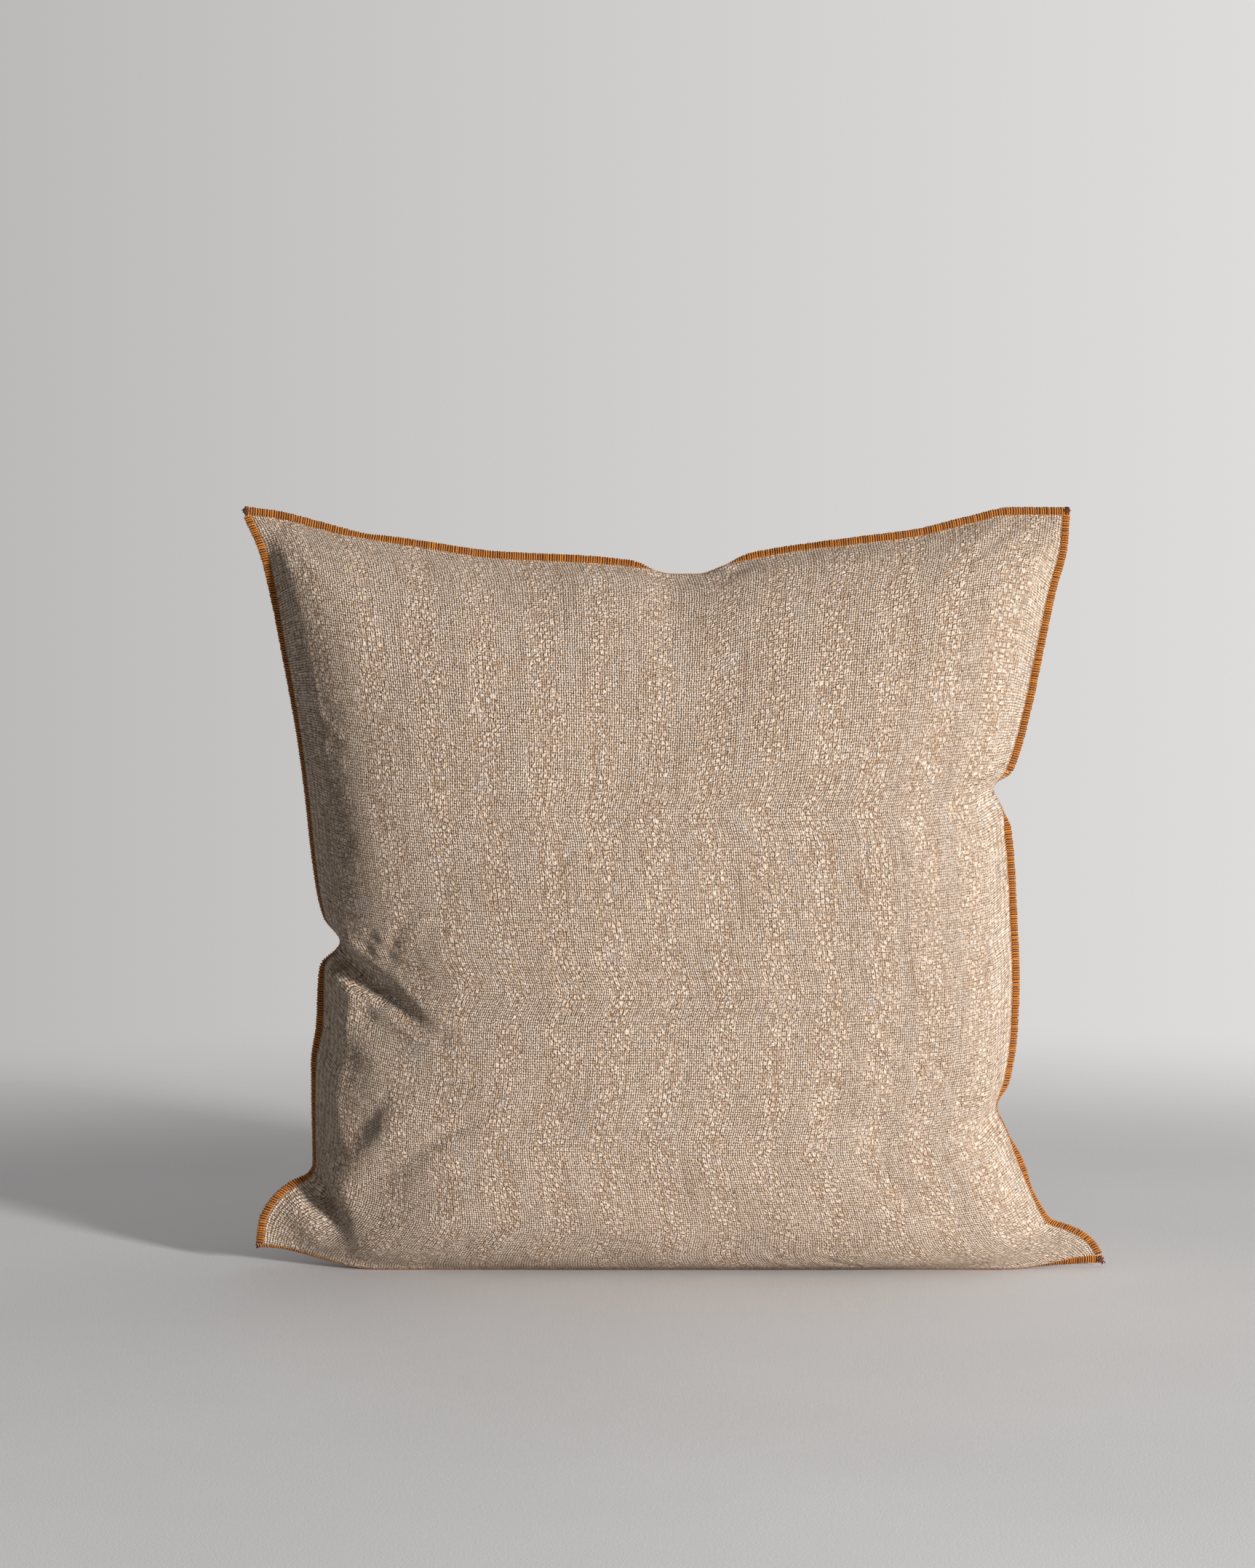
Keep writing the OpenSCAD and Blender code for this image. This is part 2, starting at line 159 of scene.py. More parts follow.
def uneven(shape, seed):
    """Smooth random values from -1 to 1 over a grid of that shape, the same in every run."""
    rows, columns = shape
    step = 16
    coarse = np.random.default_rng(seed).uniform(-1, 1, (rows // step + 2, columns // step + 2))
    return finer(finer(coarse, step, 0), step, 1)[:rows, :columns]


def edge_distance(shares):
    """Distance of points at shares of a panel's side from the nearer of its two ends."""
    return np.minimum(shares, 1 - shares) * PANEL


# ---- outline of the standing cover ----

# How far each edge is drawn in, in mm, at shares of the straight line between its corners
PULL_LEFT = [(0, 0), (0.03, 2), (0.055, 8), (0.076, 18), (0.09, 29), (0.11, 33), (0.18, 33), (0.25, 34),
             (0.3, 38), (0.38, 40), (0.415, 50), (0.45, 41), (0.52, 36), (0.62, 32), (0.7, 28),
             (0.76, 24), (0.83, 19), (0.9, 14), (0.95, 9), (1, 0)]
PULL_RIGHT = [(0, 0), (0.012, 3), (0.024, 9), (0.034, 18), (0.042, 28), (0.055, 32), (0.08, 37), (0.13, 45),
              (0.17, 51), (0.2, 56), (0.24, 50), (0.3, 45), (0.4, 42), (0.5, 42), (0.6, 44), (0.63, 49),
              (0.66, 40), (0.74, 28), (0.82, 19), (0.9, 10), (0.96, 2), (1, 0)]
DROP_TOP = [(0, 0), (0.03, 2), (0.08, 8), (0.12, 13), (0.2, 19), (0.3, 26), (0.42, 29), (0.48, 32),
            (0.52, 36), (0.55, 36), (0.59, 30), (0.66, 23), (0.74, 18), (0.82, 13), (0.88, 6),
            (0.94, 0), (1, 0)]

# Which way the edging points, in degrees from straight out towards the back, at shares of each edge
LEAN_LEFT = [(0, 10), (0.08, 0), (0.13, 60), (0.22, 55), (0.33, 20), (0.38, 35), (0.42, 85), (0.5, 60),
             (0.7, 50), (0.86, 35), (0.93, 0), (1, 0)]
LEAN_RIGHT = [(0, 0), (0.09, 40), (0.12, 60), (0.16, 30), (0.2, 80), (0.235, 80), (0.27, 30), (0.4, 5),
              (0.58, 5), (0.62, 95), (0.645, 95), (0.68, 5), (0.85, 0), (1, 0)]
LEAN_TOP = [(0, 0), (0.1, 10), (0.14, 45), (0.18, 25), (0.3, 10), (0.46, 25), (0.5, 95), (0.58, 95),
            (0.62, 25), (0.68, 30), (0.75, 10), (1, 0)]

# And along the lower edge: 0 is forwards, 90 down and 180 backwards
TURN_BASE = [(0, 150), (0.06, 155), (0.12, 180), (0.9, 180), (1, 90)]

BASE_Z = 1.8 * MM            # height of the lower seam
BASE_LEFT_Z = 14 * MM        # and of its two ends
BASE_RIGHT_Z = 7 * MM
BASE_FORWARD = 12 * MM       # how far the lower seam lies in front of the side seams' plane
STEPS = np.linspace(0, 1, 600)
SIDES = ("left", "right")    # the edges that run up; the others run across


def side_seam(side):
    """Points of the left (-1) or the right (1) seam, from the bottom up."""
    pull = through(PULL_LEFT if side < 0 else PULL_RIGHT, STEPS) * MM
    low_x, low_z = (BASE_LEFT_X, BASE_LEFT_Z) if side < 0 else (BASE_RIGHT_X, BASE_RIGHT_Z)
    high_x = TOP_LEFT_X if side < 0 else TOP_RIGHT_X
    z = low_z + (CORNER_TOP_Z - low_z) * STEPS
    return np.stack([low_x + (high_x - low_x) * STEPS - side * pull, mid_y(z), z], 1)


def top_seam():
    z = CORNER_TOP_Z - through(DROP_TOP, STEPS) * MM
    return np.stack([TOP_LEFT_X + (TOP_RIGHT_X - TOP_LEFT_X) * STEPS, mid_y(z), z], 1)


def base_flat(t):
    """1 where the lower seam lies flat on the surface, falling to 0 at its two ends."""
    return smooth(0, 0.12, t) * smooth(0, 0.12, 1 - np.asarray(t))


def base_seam():
    ends = BASE_LEFT_Z + (BASE_RIGHT_Z - BASE_LEFT_Z) * smooth(0.4, 0.6, STEPS)
    z = ends + (BASE_Z - ends) * smooth(0, 0.14, STEPS) * smooth(0, 0.1, 1 - STEPS)
    return np.stack([BASE_LEFT_X + (BASE_RIGHT_X - BASE_LEFT_X) * STEPS,
                     mid_y(z) - BASE_FORWARD * base_flat(STEPS), z], 1)


SEAMS = {"left": side_seam(-1), "right": side_seam(1), "top": top_seam(), "bottom": base_seam()}


def seam_allowance(edge, t):
    """Points of a seam at shares t of its length, the way its allowance stands out, and the
    allowance's normal on the cover's front."""
    points = at_shares(SEAMS[edge], t)
    run = np.gradient(at_shares(SEAMS[edge], STEPS), axis=0)
    tangent = unit(np.stack([np.interp(t, STEPS, run[:, k]) for k in range(3)], 1))
    straight = np.array([0, 0, 1.0] if edge in SIDES else [1.0, 0, 0])
    tangent = unit(tangent + 0.6 * straight)
    if edge == "bottom":
        turned = np.radians(through(TURN_BASE, t))
        out = np.stack([0 * turned, -np.cos(turned), -np.sin(turned)], 1)
    else:
        leans = {"left": (LEAN_LEFT, -1, 0), "right": (LEAN_RIGHT, 1, 0), "top": (LEAN_TOP, 0, 1)}
        table, x, z = leans[edge]
        lean = np.radians(through(table, t))
        out = np.stack([np.cos(lean) * x, np.sin(lean), np.cos(lean) * z], 1)
    out = unit(out - tangent * np.sum(out * tangent, axis=1)[:, None])
    turn = 1 if edge in ("bottom", "right") else -1
    return points, out, turn * np.cross(out, tangent)


def profile(face, swell):
    """The upright section of one face (-1 in front, 1 behind), from the lower to the upper seam:
    two quarters of rounded squares that meet where the cover is deepest."""
    low = BASE_Z - 6 * MM    # sunk, so that the cover stands on a flat strip of cloth
    high = CORNER_TOP_Z - 34 * MM
    turn = np.linspace(0, 1, 400) * math.pi / 2
    below, above = np.cos(turn), np.sin(turn)[1:]
    square_below = 3.2 if face < 0 else 3.5
    square_above = 2.2
    z = np.concatenate([WIDE_Z - (WIDE_Z - low) * below, WIDE_Z + (high - WIDE_Z) * above])
    u = np.concatenate([(1 - below ** square_below) ** (1 / square_below),
                        (1 - above ** square_above) ** (1 / square_above)])
    forward = np.where(z < WIDE_Z, BASE_FORWARD * (1 - u), 0)
    z = np.maximum(z, CLEAR)
    y = mid_y(z) - forward + face * u * DEPTH / 2 * swell
    return np.stack([np.zeros(len(z)), y, z], 1)


# ---- the stuffed cover: two panels sewn together, blown up by their filling ----

# Where a panel's columns and rows of points lie, as shares of its width and its height
COLUMNS = np.linspace(0, 1, 65)


def zip_share():
    """Share of the back panel's height at which the zip's middle lies."""
    line = profile(1, 1)
    run = lengths(line)
    return run[np.argmin(np.linalg.norm(line - np.array(ZIP_MIDDLE), axis=1))] / run[-1]


ZIP_AT = zip_share()
STRIP = SLOT_HALF / PANEL        # half the height of the opening, as a share
ROWS_LOW = 18
ROWS_HIGH = 45
ROWS = np.concatenate([np.linspace(0, ZIP_AT - STRIP, ROWS_LOW + 1), [ZIP_AT],
                       np.linspace(ZIP_AT + STRIP, 1, ROWS_HIGH + 1)])
HOLD_HALF = ZIP_HALF + 10 * MM   # the cloth is held flat this far from the zip's middle


def start_shape(face, swell):
    """Grid [row, column] of one face before it is blown up."""
    left, right = (at_shares(SEAMS[edge], ROWS) for edge in SIDES)
    top, base = (at_shares(SEAMS[edge], COLUMNS) for edge in ("top", "bottom"))
    middle = at_shares(profile(face, swell), ROWS)
    s = 2 * COLUMNS - 1
    square = 2.9
    full = (1 - np.abs(s) ** square) ** (1 / square)
    side = np.where(s[None, :, None] < 0, left[:, None, :], right[:, None, :])
    grid = side + (middle[:, None, :] - side) * full[None, :, None]
    grid[:, :, 0] = left[:, None, 0] + (right[:, None, 0] - left[:, None, 0]) * COLUMNS[None, :]
    to_top = smooth(0.55, 1, ROWS)[:, None, None]
    to_base = (1 - smooth(0, 0.3, ROWS))[:, None, None]
    grid = grid + (top - grid[-1])[None] * to_top + (base - grid[0])[None] * to_base
    grid[:, 0], grid[:, -1], grid[0], grid[-1] = left, right, base, top
    return grid


def hold_at_zip(grid):
    """Pulls the back's cloth to the zip's plane."""
    for row, share in zip(grid, ROWS):
        target = ZIP_MIDDLE + ZIP_UP * (share - ZIP_AT) * PANEL
        hold = 1 - smooth(HOLD_HALF, HOLD_HALF + 30 * MM, np.abs(row[:, 0]))
        hold = hold * (1 - smooth(1.01 * STRIP, 0.1, abs(share - ZIP_AT)))
        row[:, 1] += (target.y - row[:, 1]) * hold
        row[:, 2] += (target.z - row[:, 2]) * hold
    return grid


def link(name, data):
    """A new object in the scene."""
    obj = bpy.data.objects.new(name, data)
    bpy.context.scene.collection.objects.link(obj)
    return obj


def cloth_object(front, back):
    """Both faces as one mesh that shares the seam, at rest as two flat panels, and the numbers of
    each face's points."""
    index_front = np.arange(front[:, :, 0].size).reshape(front.shape[:2])
    index_back = index_front.copy()
    inner = index_back[1:-1, 1:-1]
    inner[:] = index_front.size + np.arange(inner.size).reshape(inner.shape)
    points = np.zeros((index_front.size + inner.size, 3))
    flat = np.zeros_like(points)
    uu, vv = np.meshgrid(COLUMNS, ROWS)
    faces = []
    for index, grid, turned in ((index_back, back, True), (index_front, front, False)):
        points[index.ravel()] = grid.reshape(-1, 3)
        flat[index.ravel()] = np.stack([uu * PANEL, uu * 0, vv * PANEL], -1).reshape(-1, 3)
        faces += grid_quads(index, turned).tolist()
    mesh = bpy.data.meshes.new("cloth")
    mesh.from_pydata(points.tolist(), [], faces)
    cloth = link("cloth", mesh)
    cloth.shape_key_add(name="Basis")
    cloth.shape_key_add(name="flat").data.foreach_set("co", flat.ravel())

    # The seam stays where it is, and so does the cloth along the zip
    pinned = np.zeros(len(points))
    for rim in (index_front[0], index_front[-1], index_front[:, 0], index_front[:, -1]):
        pinned[rim] = 1
    near_zip = (np.abs(ROWS - ZIP_AT) <= 1.01 * STRIP)[:, None] & (np.abs(back[:, :, 0]) < HOLD_HALF)
    pinned[index_back[near_zip]] = 1
    set_weights(cloth, "pinned", pinned)

    # The filling presses less into the corners
    filling = np.zeros(len(points))
    nearest = np.hypot(np.minimum(uu, 1 - uu), np.minimum(vv, 1 - vv))
    for index in (index_front, index_back):
        filling[index] = 0.1 + 0.9 * np.minimum(nearest / 0.2, 1) ** 2
    set_weights(cloth, "filling", filling)
    return cloth, index_front, index_back


def set_weights(obj, name, weights):
    group = obj.vertex_groups.new(name=name)
    for number, weight in enumerate(weights):
        if weight > 0:
            group.add([number], float(weight), "REPLACE")


CLOTH_SETTINGS = {
    "quality": 6, "mass": 0.005, "air_damping": 1, "vertex_group_mass": "pinned",
    "tension_stiffness": 200, "compression_stiffness": 120, "shear_stiffness": 30, "bending_stiffness": 1,
    "tension_damping": 10, "compression_damping": 10, "shear_damping": 10, "bending_damping": 2,
    "use_pressure": True, "uniform_pressure_force": 250, "vertex_group_pressure": "filling",
}
FRAMES = 30


def blown_up(cloth):
    """Points of the cloth after it was filled on a surface that it can't sink into."""
    mesh = bpy.data.meshes.new("surface")
    corners = [(-1, -1, -1e-4), (1, -1, -1e-4), (1, 1, -1e-4), (-1, 1, -1e-4)]
    mesh.from_pydata(corners, [], [(0, 1, 2, 3)])
    surface = link("surface", mesh)
    surface.modifiers.new("surface", "COLLISION")
    surface.collision.thickness_outer = 1 * MM

    modifier = cloth.modifiers.new("cloth", "CLOTH")
    for key, value in CLOTH_SETTINGS.items():
        setattr(modifier.settings, key, value)
    modifier.settings.rest_shape_key = cloth.data.shape_keys.key_blocks["flat"]
    modifier.settings.effector_weights.gravity = 0
    modifier.collision_settings.use_collision = True
    modifier.collision_settings.distance_min = 1 * MM
    modifier.point_cache.frame_start = 1
    modifier.point_cache.frame_end = FRAMES
    for number in range(1, FRAMES + 1):
        bpy.context.scene.frame_set(number)
    evaluated = cloth.evaluated_get(bpy.context.evaluated_depsgraph_get())
    points = np.zeros(len(cloth.data.vertices) * 3)
    evaluated.data.vertices.foreach_get("co", points)
    bpy.context.scene.frame_set(1)
    for obj in (cloth, surface):
        bpy.data.objects.remove(obj)
    return points.reshape(-1, 3)


def cover_grids():
    """The front's and the back's grids of points, filled out by a cloth simulation."""
    swell = 0.9
    front = start_shape(-1, swell)
    back = hold_at_zip(start_shape(1, swell))
    cloth, index_front, index_back = cloth_object(front, back)
    points = blown_up(cloth)
    return points[index_front], points[index_back]


# ---- folds and creases, on a finer grid ----

FINER = 3
FINE_COLUMNS = finer(COLUMNS, FINER, 0)
FINE_ROWS = finer(ROWS, FINER, 0)

# Creases of the front: points (x, z) in mm along each, its depth and its width in mm
CREASES = [
    ([(-200, 187), (-184, 177), (-171, 170), (-152, 155), (-138, 146)], 9.0, 6),
    ([(-186, 160), (-165, 146), (-144, 128)], 5.0, 14),
    ([(-197, 133), (-180, 120)], 2.0, 10),
    ([(-219, 54), (-211, 42), (-203, 30), (-196, 14)], 10.0, 8),
    ([(-188, 92), (-172, 70)], 2.0, 14),
    ([(193, 284), (183, 271), (171, 250)], 4.0, 8),
    ([(196, 95), (184, 84), (170, 74)], 3.0, 9),
    ([(222, 24), (231, 14), (236, 9)], 3.0, 5),
    ([(-2, 410), (2, 396), (4, 372)], 1.2, 12),
    ([(-247, 436), (-240, 405), (-231, 372)], 2.0, 6),
    ([(-238, 440), (-222, 424)], 2.0, 5),
    ([(-150, 424), (-141, 408)], 1.2, 8),
    ([(219, 440), (203, 421), (190, 402)], 1.8, 8),
    ([(222, 420), (213, 396)], 1.5, 7),
]
# And of the back
BACK_CREASES = [
    ([(-200, 196), (-178, 186), (-160, 170)], 5.0, 7),
    ([(192, 285), (172, 274), (150, 258)], 5.0, 8),
    ([(-216, 50), (-204, 36)], 4.0, 7),
    ([(212, 40), (200, 28)], 4.0, 7),
    ([(5, 413), (0, 396)], 2.5, 9),
    ([(218, 438), (200, 418)], 2.0, 8),
    ([(-236, 438), (-220, 420)], 2.0, 8),
    ([(-150, 84), (-140, 110)], 2.0, 9),
    ([(152, 84), (141, 112)], 2.0, 9),
]


def crease_depth(grid, creases):
    """How far the cloth lies below its smooth shape, at every point of a grid."""
    total = np.zeros(grid.shape[:2])
    place = grid[:, :, [0, 2]] / MM
    for points, depth, width in creases:
        points = np.array(points, float)
        run = lengths(points)
        nearest = np.full(grid.shape[:2], 1e9)
        share = np.zeros(grid.shape[:2])
        for number, (a, b) in enumerate(zip(points[:-1], points[1:])):
            t = np.clip(((place - a) @ (b - a)) / ((b - a) @ (b - a)), 0, 1)
            away = np.linalg.norm(place - a - t[:, :, None] * (b - a), axis=2)
            closer = away < nearest
            nearest = np.where(closer, away, nearest)
            share = np.where(closer, (run[number] + t * (run[number + 1] - run[number])) / run[-1], share)
        fade = 1 - smooth(0.25, 1, share)
        valley = np.exp(-(nearest / width) ** 2)
        ridge = np.exp(-((nearest - 1.9 * width) / (0.8 * width)) ** 2)
        total += depth * (0.15 + 0.85 * fade) * (valley - 0.12 * ridge)
    return total * MM


def from_edges(panel):
    """Distance of every point of a fine grid from each edge of a panel of that size."""
    u, v = FINE_COLUMNS[None, :, None] * panel, FINE_ROWS[:, None, None] * panel
    return {"left": u, "right": panel - u, "bottom": v, "top": panel - v}


BORDERS = {"left": np.s_[:, :1], "right": np.s_[:, -1:], "bottom": np.s_[:1], "top": np.s_[-1:]}


def on_seams(grid):
    """Carries a grid's four borders onto the seams and the cloth next to them with them."""
    for edge, far in from_edges(1).items():
        line = at_shares(SEAMS[edge], FINE_ROWS if edge in SIDES else FINE_COLUMNS)
        line = line[:, None] if edge in SIDES else line[None]
        grid = grid + (line - grid[BORDERS[edge]]) * (1 - smooth(0, 0.06, far))
    return grid


def calmed(grid):
    """Evens out the small folds that the filling leaves at both ends of the lower seam."""
    low = (1 - smooth(0.08, 0.25, ROWS))[1:-1, None, None]
    end = smooth(0.5, 0.75, np.abs(2 * COLUMNS - 1))[None, 1:-1, None]
    for _ in range(8):
        around = (grid[:-2, 1:-1] + grid[2:, 1:-1] + grid[1:-1, :-2] + grid[1:-1, 2:]) / 4
        grid[1:-1, 1:-1] += 0.6 * low * end * (around - grid[1:-1, 1:-1])
    return grid


def off_zip(grid, near, far, ends):
    """0 within `near` of the zip's line and 1 beyond `far`, or `ends` past the cloth held at it."""
    up = np.abs(FINE_ROWS - ZIP_AT)[:, None] * PANEL
    return np.maximum(smooth(near, far, up), smooth(HOLD_HALF, HOLD_HALF + ends, np.abs(grid[:, :, 0])))


def folded(grid, face):
    """The finer cover surface of one face, with its creases, its puckers along the seams and the
    unevenness of its filling."""
    grid = on_seams(finer(finer(grid, FINER, 0), FINER, 1))
    across, up = edge_distance(FINE_COLUMNS)[None, :], edge_distance(FINE_ROWS)[:, None]
    rim = np.minimum(across, up)
    u, v = FINE_COLUMNS[None, :] * PANEL, FINE_ROWS[:, None] * PANEL
    along = np.where(across < up, v, u)
    lumps = 1.5 * MM * uneven(rim.shape, 11 if face < 0 else 12) * smooth(0, 22 * MM, rim)
    depth = crease_depth(grid, CREASES if face < 0 else BACK_CREASES) * smooth(0, 6 * MM, rim)
    wave = np.sin(along / (2.1 * MM) + 2.5 * uneven(rim.shape, 13)) * (0.6 + 0.4 * uneven(rim.shape, 14))
    pucker = 0.45 * MM * wave * smooth(0, 3 * MM, rim) * np.exp(-rim / (9 * MM))
    if face > 0:
        lumps = lumps * off_zip(grid, 6 * MM, 26 * MM, 20 * MM)
        depth = depth * off_zip(grid, 4 * MM, 14 * MM, 12 * MM)
        pucker = pucker * smooth(4 * MM, 10 * MM, np.abs(FINE_ROWS - ZIP_AT)[:, None] * PANEL)
    off_floor = smooth(2 * MM, 20 * MM, grid[:, :, 2])
    grid = grid + normals(grid, face) * ((lumps - depth + pucker) * off_floor)[:, :, None]
    grid[:, :, 2] = np.maximum(grid[:, :, 2], CLEAR)
    if face > 0:
        # Over the lower edging, which lies folded back under this face
        over = 3.6 * MM * smooth(0, 1.5 * MM, v) * (1 - smooth(6 * MM, 10 * MM, v))
        grid[:, :, 2] = np.maximum(grid[:, :, 2], over)
    return grid


# ---- meshes ----

def grid_quads(index, turned):
    """Quads between the point numbers of a grid."""
    a, b = index[:-1, :-1].ravel(), index[:-1, 1:].ravel()
    c, d = index[1:, 1:].ravel(), index[1:, :-1].ravel()
    return np.stack([a, d, c, b] if turned else [a, b, c, d], 1)


def add_mesh(name, points, quads, uv=None):
    """uv holds one pair for each point, in metres along the thread or cloth."""
    mesh = bpy.data.meshes.new(name)
    mesh.from_pydata(points.tolist(), [], quads.tolist())
    if uv is not None:
        corner = np.zeros(len(mesh.loops), int)
        mesh.loops.foreach_get("vertex_index", corner)
        mesh.uv_layers.new(name="UVMap").data.foreach_set("uv", uv[corner].ravel())
    mesh.polygons.foreach_set("use_smooth", [True] * len(mesh.polygons))
    return link(name, mesh)


def slab(name, outer, inner, face, uv):
    """A closed piece of cloth between two grids of points [row, column, xyz]."""
    rows, columns = outer.shape[:2]
    index = np.arange(rows * columns).reshape(rows, columns)
    below = index + rows * columns
    turned = face > 0
    quads = [grid_quads(index, turned), grid_quads(below, not turned)]
    for a, b, flip in ((index[0], below[0], True), (index[-1], below[-1], False),
                       (index[:, 0], below[:, 0], False), (index[:, -1], below[:, -1], True)):
        quads.append(grid_quads(np.stack([a, b]), flip != turned))
    points = np.concatenate([outer.reshape(-1, 3), inner.reshape(-1, 3)])
    both = np.concatenate([uv.reshape(-1, 2)] * 2)
    return add_mesh(name, points, np.concatenate(quads), both)


def ring_quads(rings, sides, closed):
    """Quads of a tube whose points are numbered ring by ring."""
    index = np.arange(rings * sides).reshape(rings, sides)
    index = np.concatenate([index, index[:, :1]], 1)
    if closed:
        index = np.concatenate([index, index[:1]])
    return grid_quads(index, False)


def tube(path, radius, sides=8, closed=False):
    """A thread along a path, as points, quads and UVs. radius is a number or one for each point."""
    tangent = unit(np.gradient(path, axis=0))
    side = unit(np.cross(tangent, [0.31, 0.88, 0.36]))
    other = np.cross(tangent, side)
    angle = np.arange(sides) * 2 * math.pi / sides
    ring = np.cos(angle)[None, :, None] * side[:, None] + np.sin(angle)[None, :, None] * other[:, None]
    radius = np.broadcast_to(np.asarray(radius, float), (len(path),))
    points = (path[:, None] + ring * radius[:, None, None]).reshape(-1, 3)
    uv = np.stack(np.broadcast_arrays(lengths(path)[:, None], angle[None, :] * MM), -1).reshape(-1, 2)
    return points, ring_quads(len(path), sides, closed), uv


def joined(name, parts):
    """One mesh from several (points, quads, uv)."""
    starts = np.cumsum([0] + [len(part[0]) for part in parts])
    quads = np.concatenate([part[1] + start for part, start in zip(parts, starts)])
    return add_mesh(name, np.concatenate([part[0] for part in parts]), quads,
                    np.concatenate([part[2] for part in parts]))


def threads(name, paths, radius):
    """Several threads as one piece, each tapered to a rounded point at its two ends."""
    parts = []
    for path in paths:
        taper = np.ones(len(path))
        taper[[0, -1]] = 0.05
        taper[[1, -2]] = 0.75
        parts.append(tube(path, radius * taper))
    return joined(name, parts)


def declare(obj, slot, node):
    """Gives a piece its material, lets it ride on the cover and hides the CAD node that it stands for."""
    obj.data.materials.append(MATERIALS[slot])
    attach(obj, BODY)
    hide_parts(node)


# ---- materials ----

def srgb(r, g, b):
    """A colour given as it looks on screen, 0 to 255."""
    values = [c / 255 for c in (r, g, b)]
    return tuple(c / 12.92 if c <= 0.04045 else ((c + 0.055) / 1.055) ** 2.4 for c in values)


class Nodes:
    """Short ways to add nodes to a tree. Values are sockets or numbers."""

    def __init__(self, tree):
        self.tree = tree

    def set(self, socket, value):
        if isinstance(value, bpy.types.NodeSocket):
            self.tree.links.new(value, socket)
        elif socket.type == "RGBA":
            socket.default_value = (*value, 1)
        else:
            socket.default_value = value

    def node(self, kind, *values, named=None, **settings):
        """values go to the first inputs, and named values to the inputs with those names."""
        made = self.tree.nodes.new(kind)
        for key, value in settings.items():
            setattr(made, key, value)
        for socket, value in zip(made.inputs, values):
            self.set(socket, value)
        for key, value in (named or {}).items():
            self.set(made.inputs[key], value)
        return made

    def math(self, operation, *values):
        return self.node("ShaderNodeMath", *values, operation=operation).outputs[0]

    def spread(self, value, low, high, to_low=0.0, to_high=1.0):
        """value from low..high carried over to to_low..to_high, smoothly."""
        return self.node("ShaderNodeMapRange", value, low, high, to_low, to_high,
                         interpolation_type="SMOOTHSTEP").outputs[0]

    def vector(self, x, y, z=0.0):
        return self.node("ShaderNodeCombineXYZ", x, y, z).outputs[0]

    def parts(self, vector):
        return self.node("ShaderNodeSeparateXYZ", vector).outputs

    def noise(self, vector, scale=1.0, detail=2.0, rough=0.5):
        named = {"Vector": vector, "Scale": scale, "Detail": detail, "Roughness": rough}
        return self.node("ShaderNodeTexNoise", named=named).outputs["Fac"]

    def mix(self, factor, a, b):
        """From one colour to another, each a socket or three numbers as they look on screen."""
        made = self.node("ShaderNodeMix", factor, data_type="RGBA")
        for socket, colour in ((made.inputs[6], a), (made.inputs[7], b)):
            self.set(socket, srgb(*colour) if isinstance(colour, tuple) else colour)
        return made.outputs[2]

    def tint(self, colour, value, low, high, amount, shade):
        """The colour with up to that amount of a shade where value goes from low to high."""
        return self.mix(self.spread(value, low, high, 0, amount), colour, shade)


class Recipe(Nodes):
    """A material under way."""

    def __init__(self, name, rough, **constants):
        self.material = bpy.data.materials.new(name)
        self.material.use_nodes = True
        super().__init__(self.material.node_tree)
        self.shader = self.tree.nodes["Principled BSDF"]
        self.shader.inputs["Roughness"].default_value = rough
        for key, value in constants.items():
            self.shader.inputs[key.replace("_", " ")].default_value = value

    def place(self):
        return self.node("ShaderNodeTexCoord").outputs["Object"]

    def uv(self):
        return self.parts(self.node("ShaderNodeUVMap", uv_map="UVMap").outputs[0])[:2]

    def done(self, colour, height, relief):
        """relief is the height in metres that a height of 1 stands for."""
        self.set(self.shader.inputs["Base Color"], colour)
        bump = self.node("ShaderNodeBump", named={"Strength": 1, "Distance": relief, "Height": height})
        self.set(self.shader.inputs["Normal"], bump.outputs[0])
        return self.material


def woven(r, u, v, pitch):
    """Height of a plain weave of threads that far apart, 0 in the gaps and 1 on the threads."""
    heights = []
    for across, along, turn in ((u, v, 1), (v, u, -1)):
        thread = r.math("ABSOLUTE", r.math("SINE", r.math("MULTIPLY", across, math.pi / pitch)))
        number = r.math("FLOOR", r.math("DIVIDE", across, pitch))
        phase = r.math("MULTIPLY_ADD", along, math.pi / pitch, r.math("MULTIPLY", number, math.pi))
        over = r.math("MULTIPLY_ADD", r.math("SINE", phase), 0.5 * turn, 0.5)
        heights.append(r.math("MULTIPLY", thread, over))
    return r.math("MAXIMUM", heights[0], heights[1])


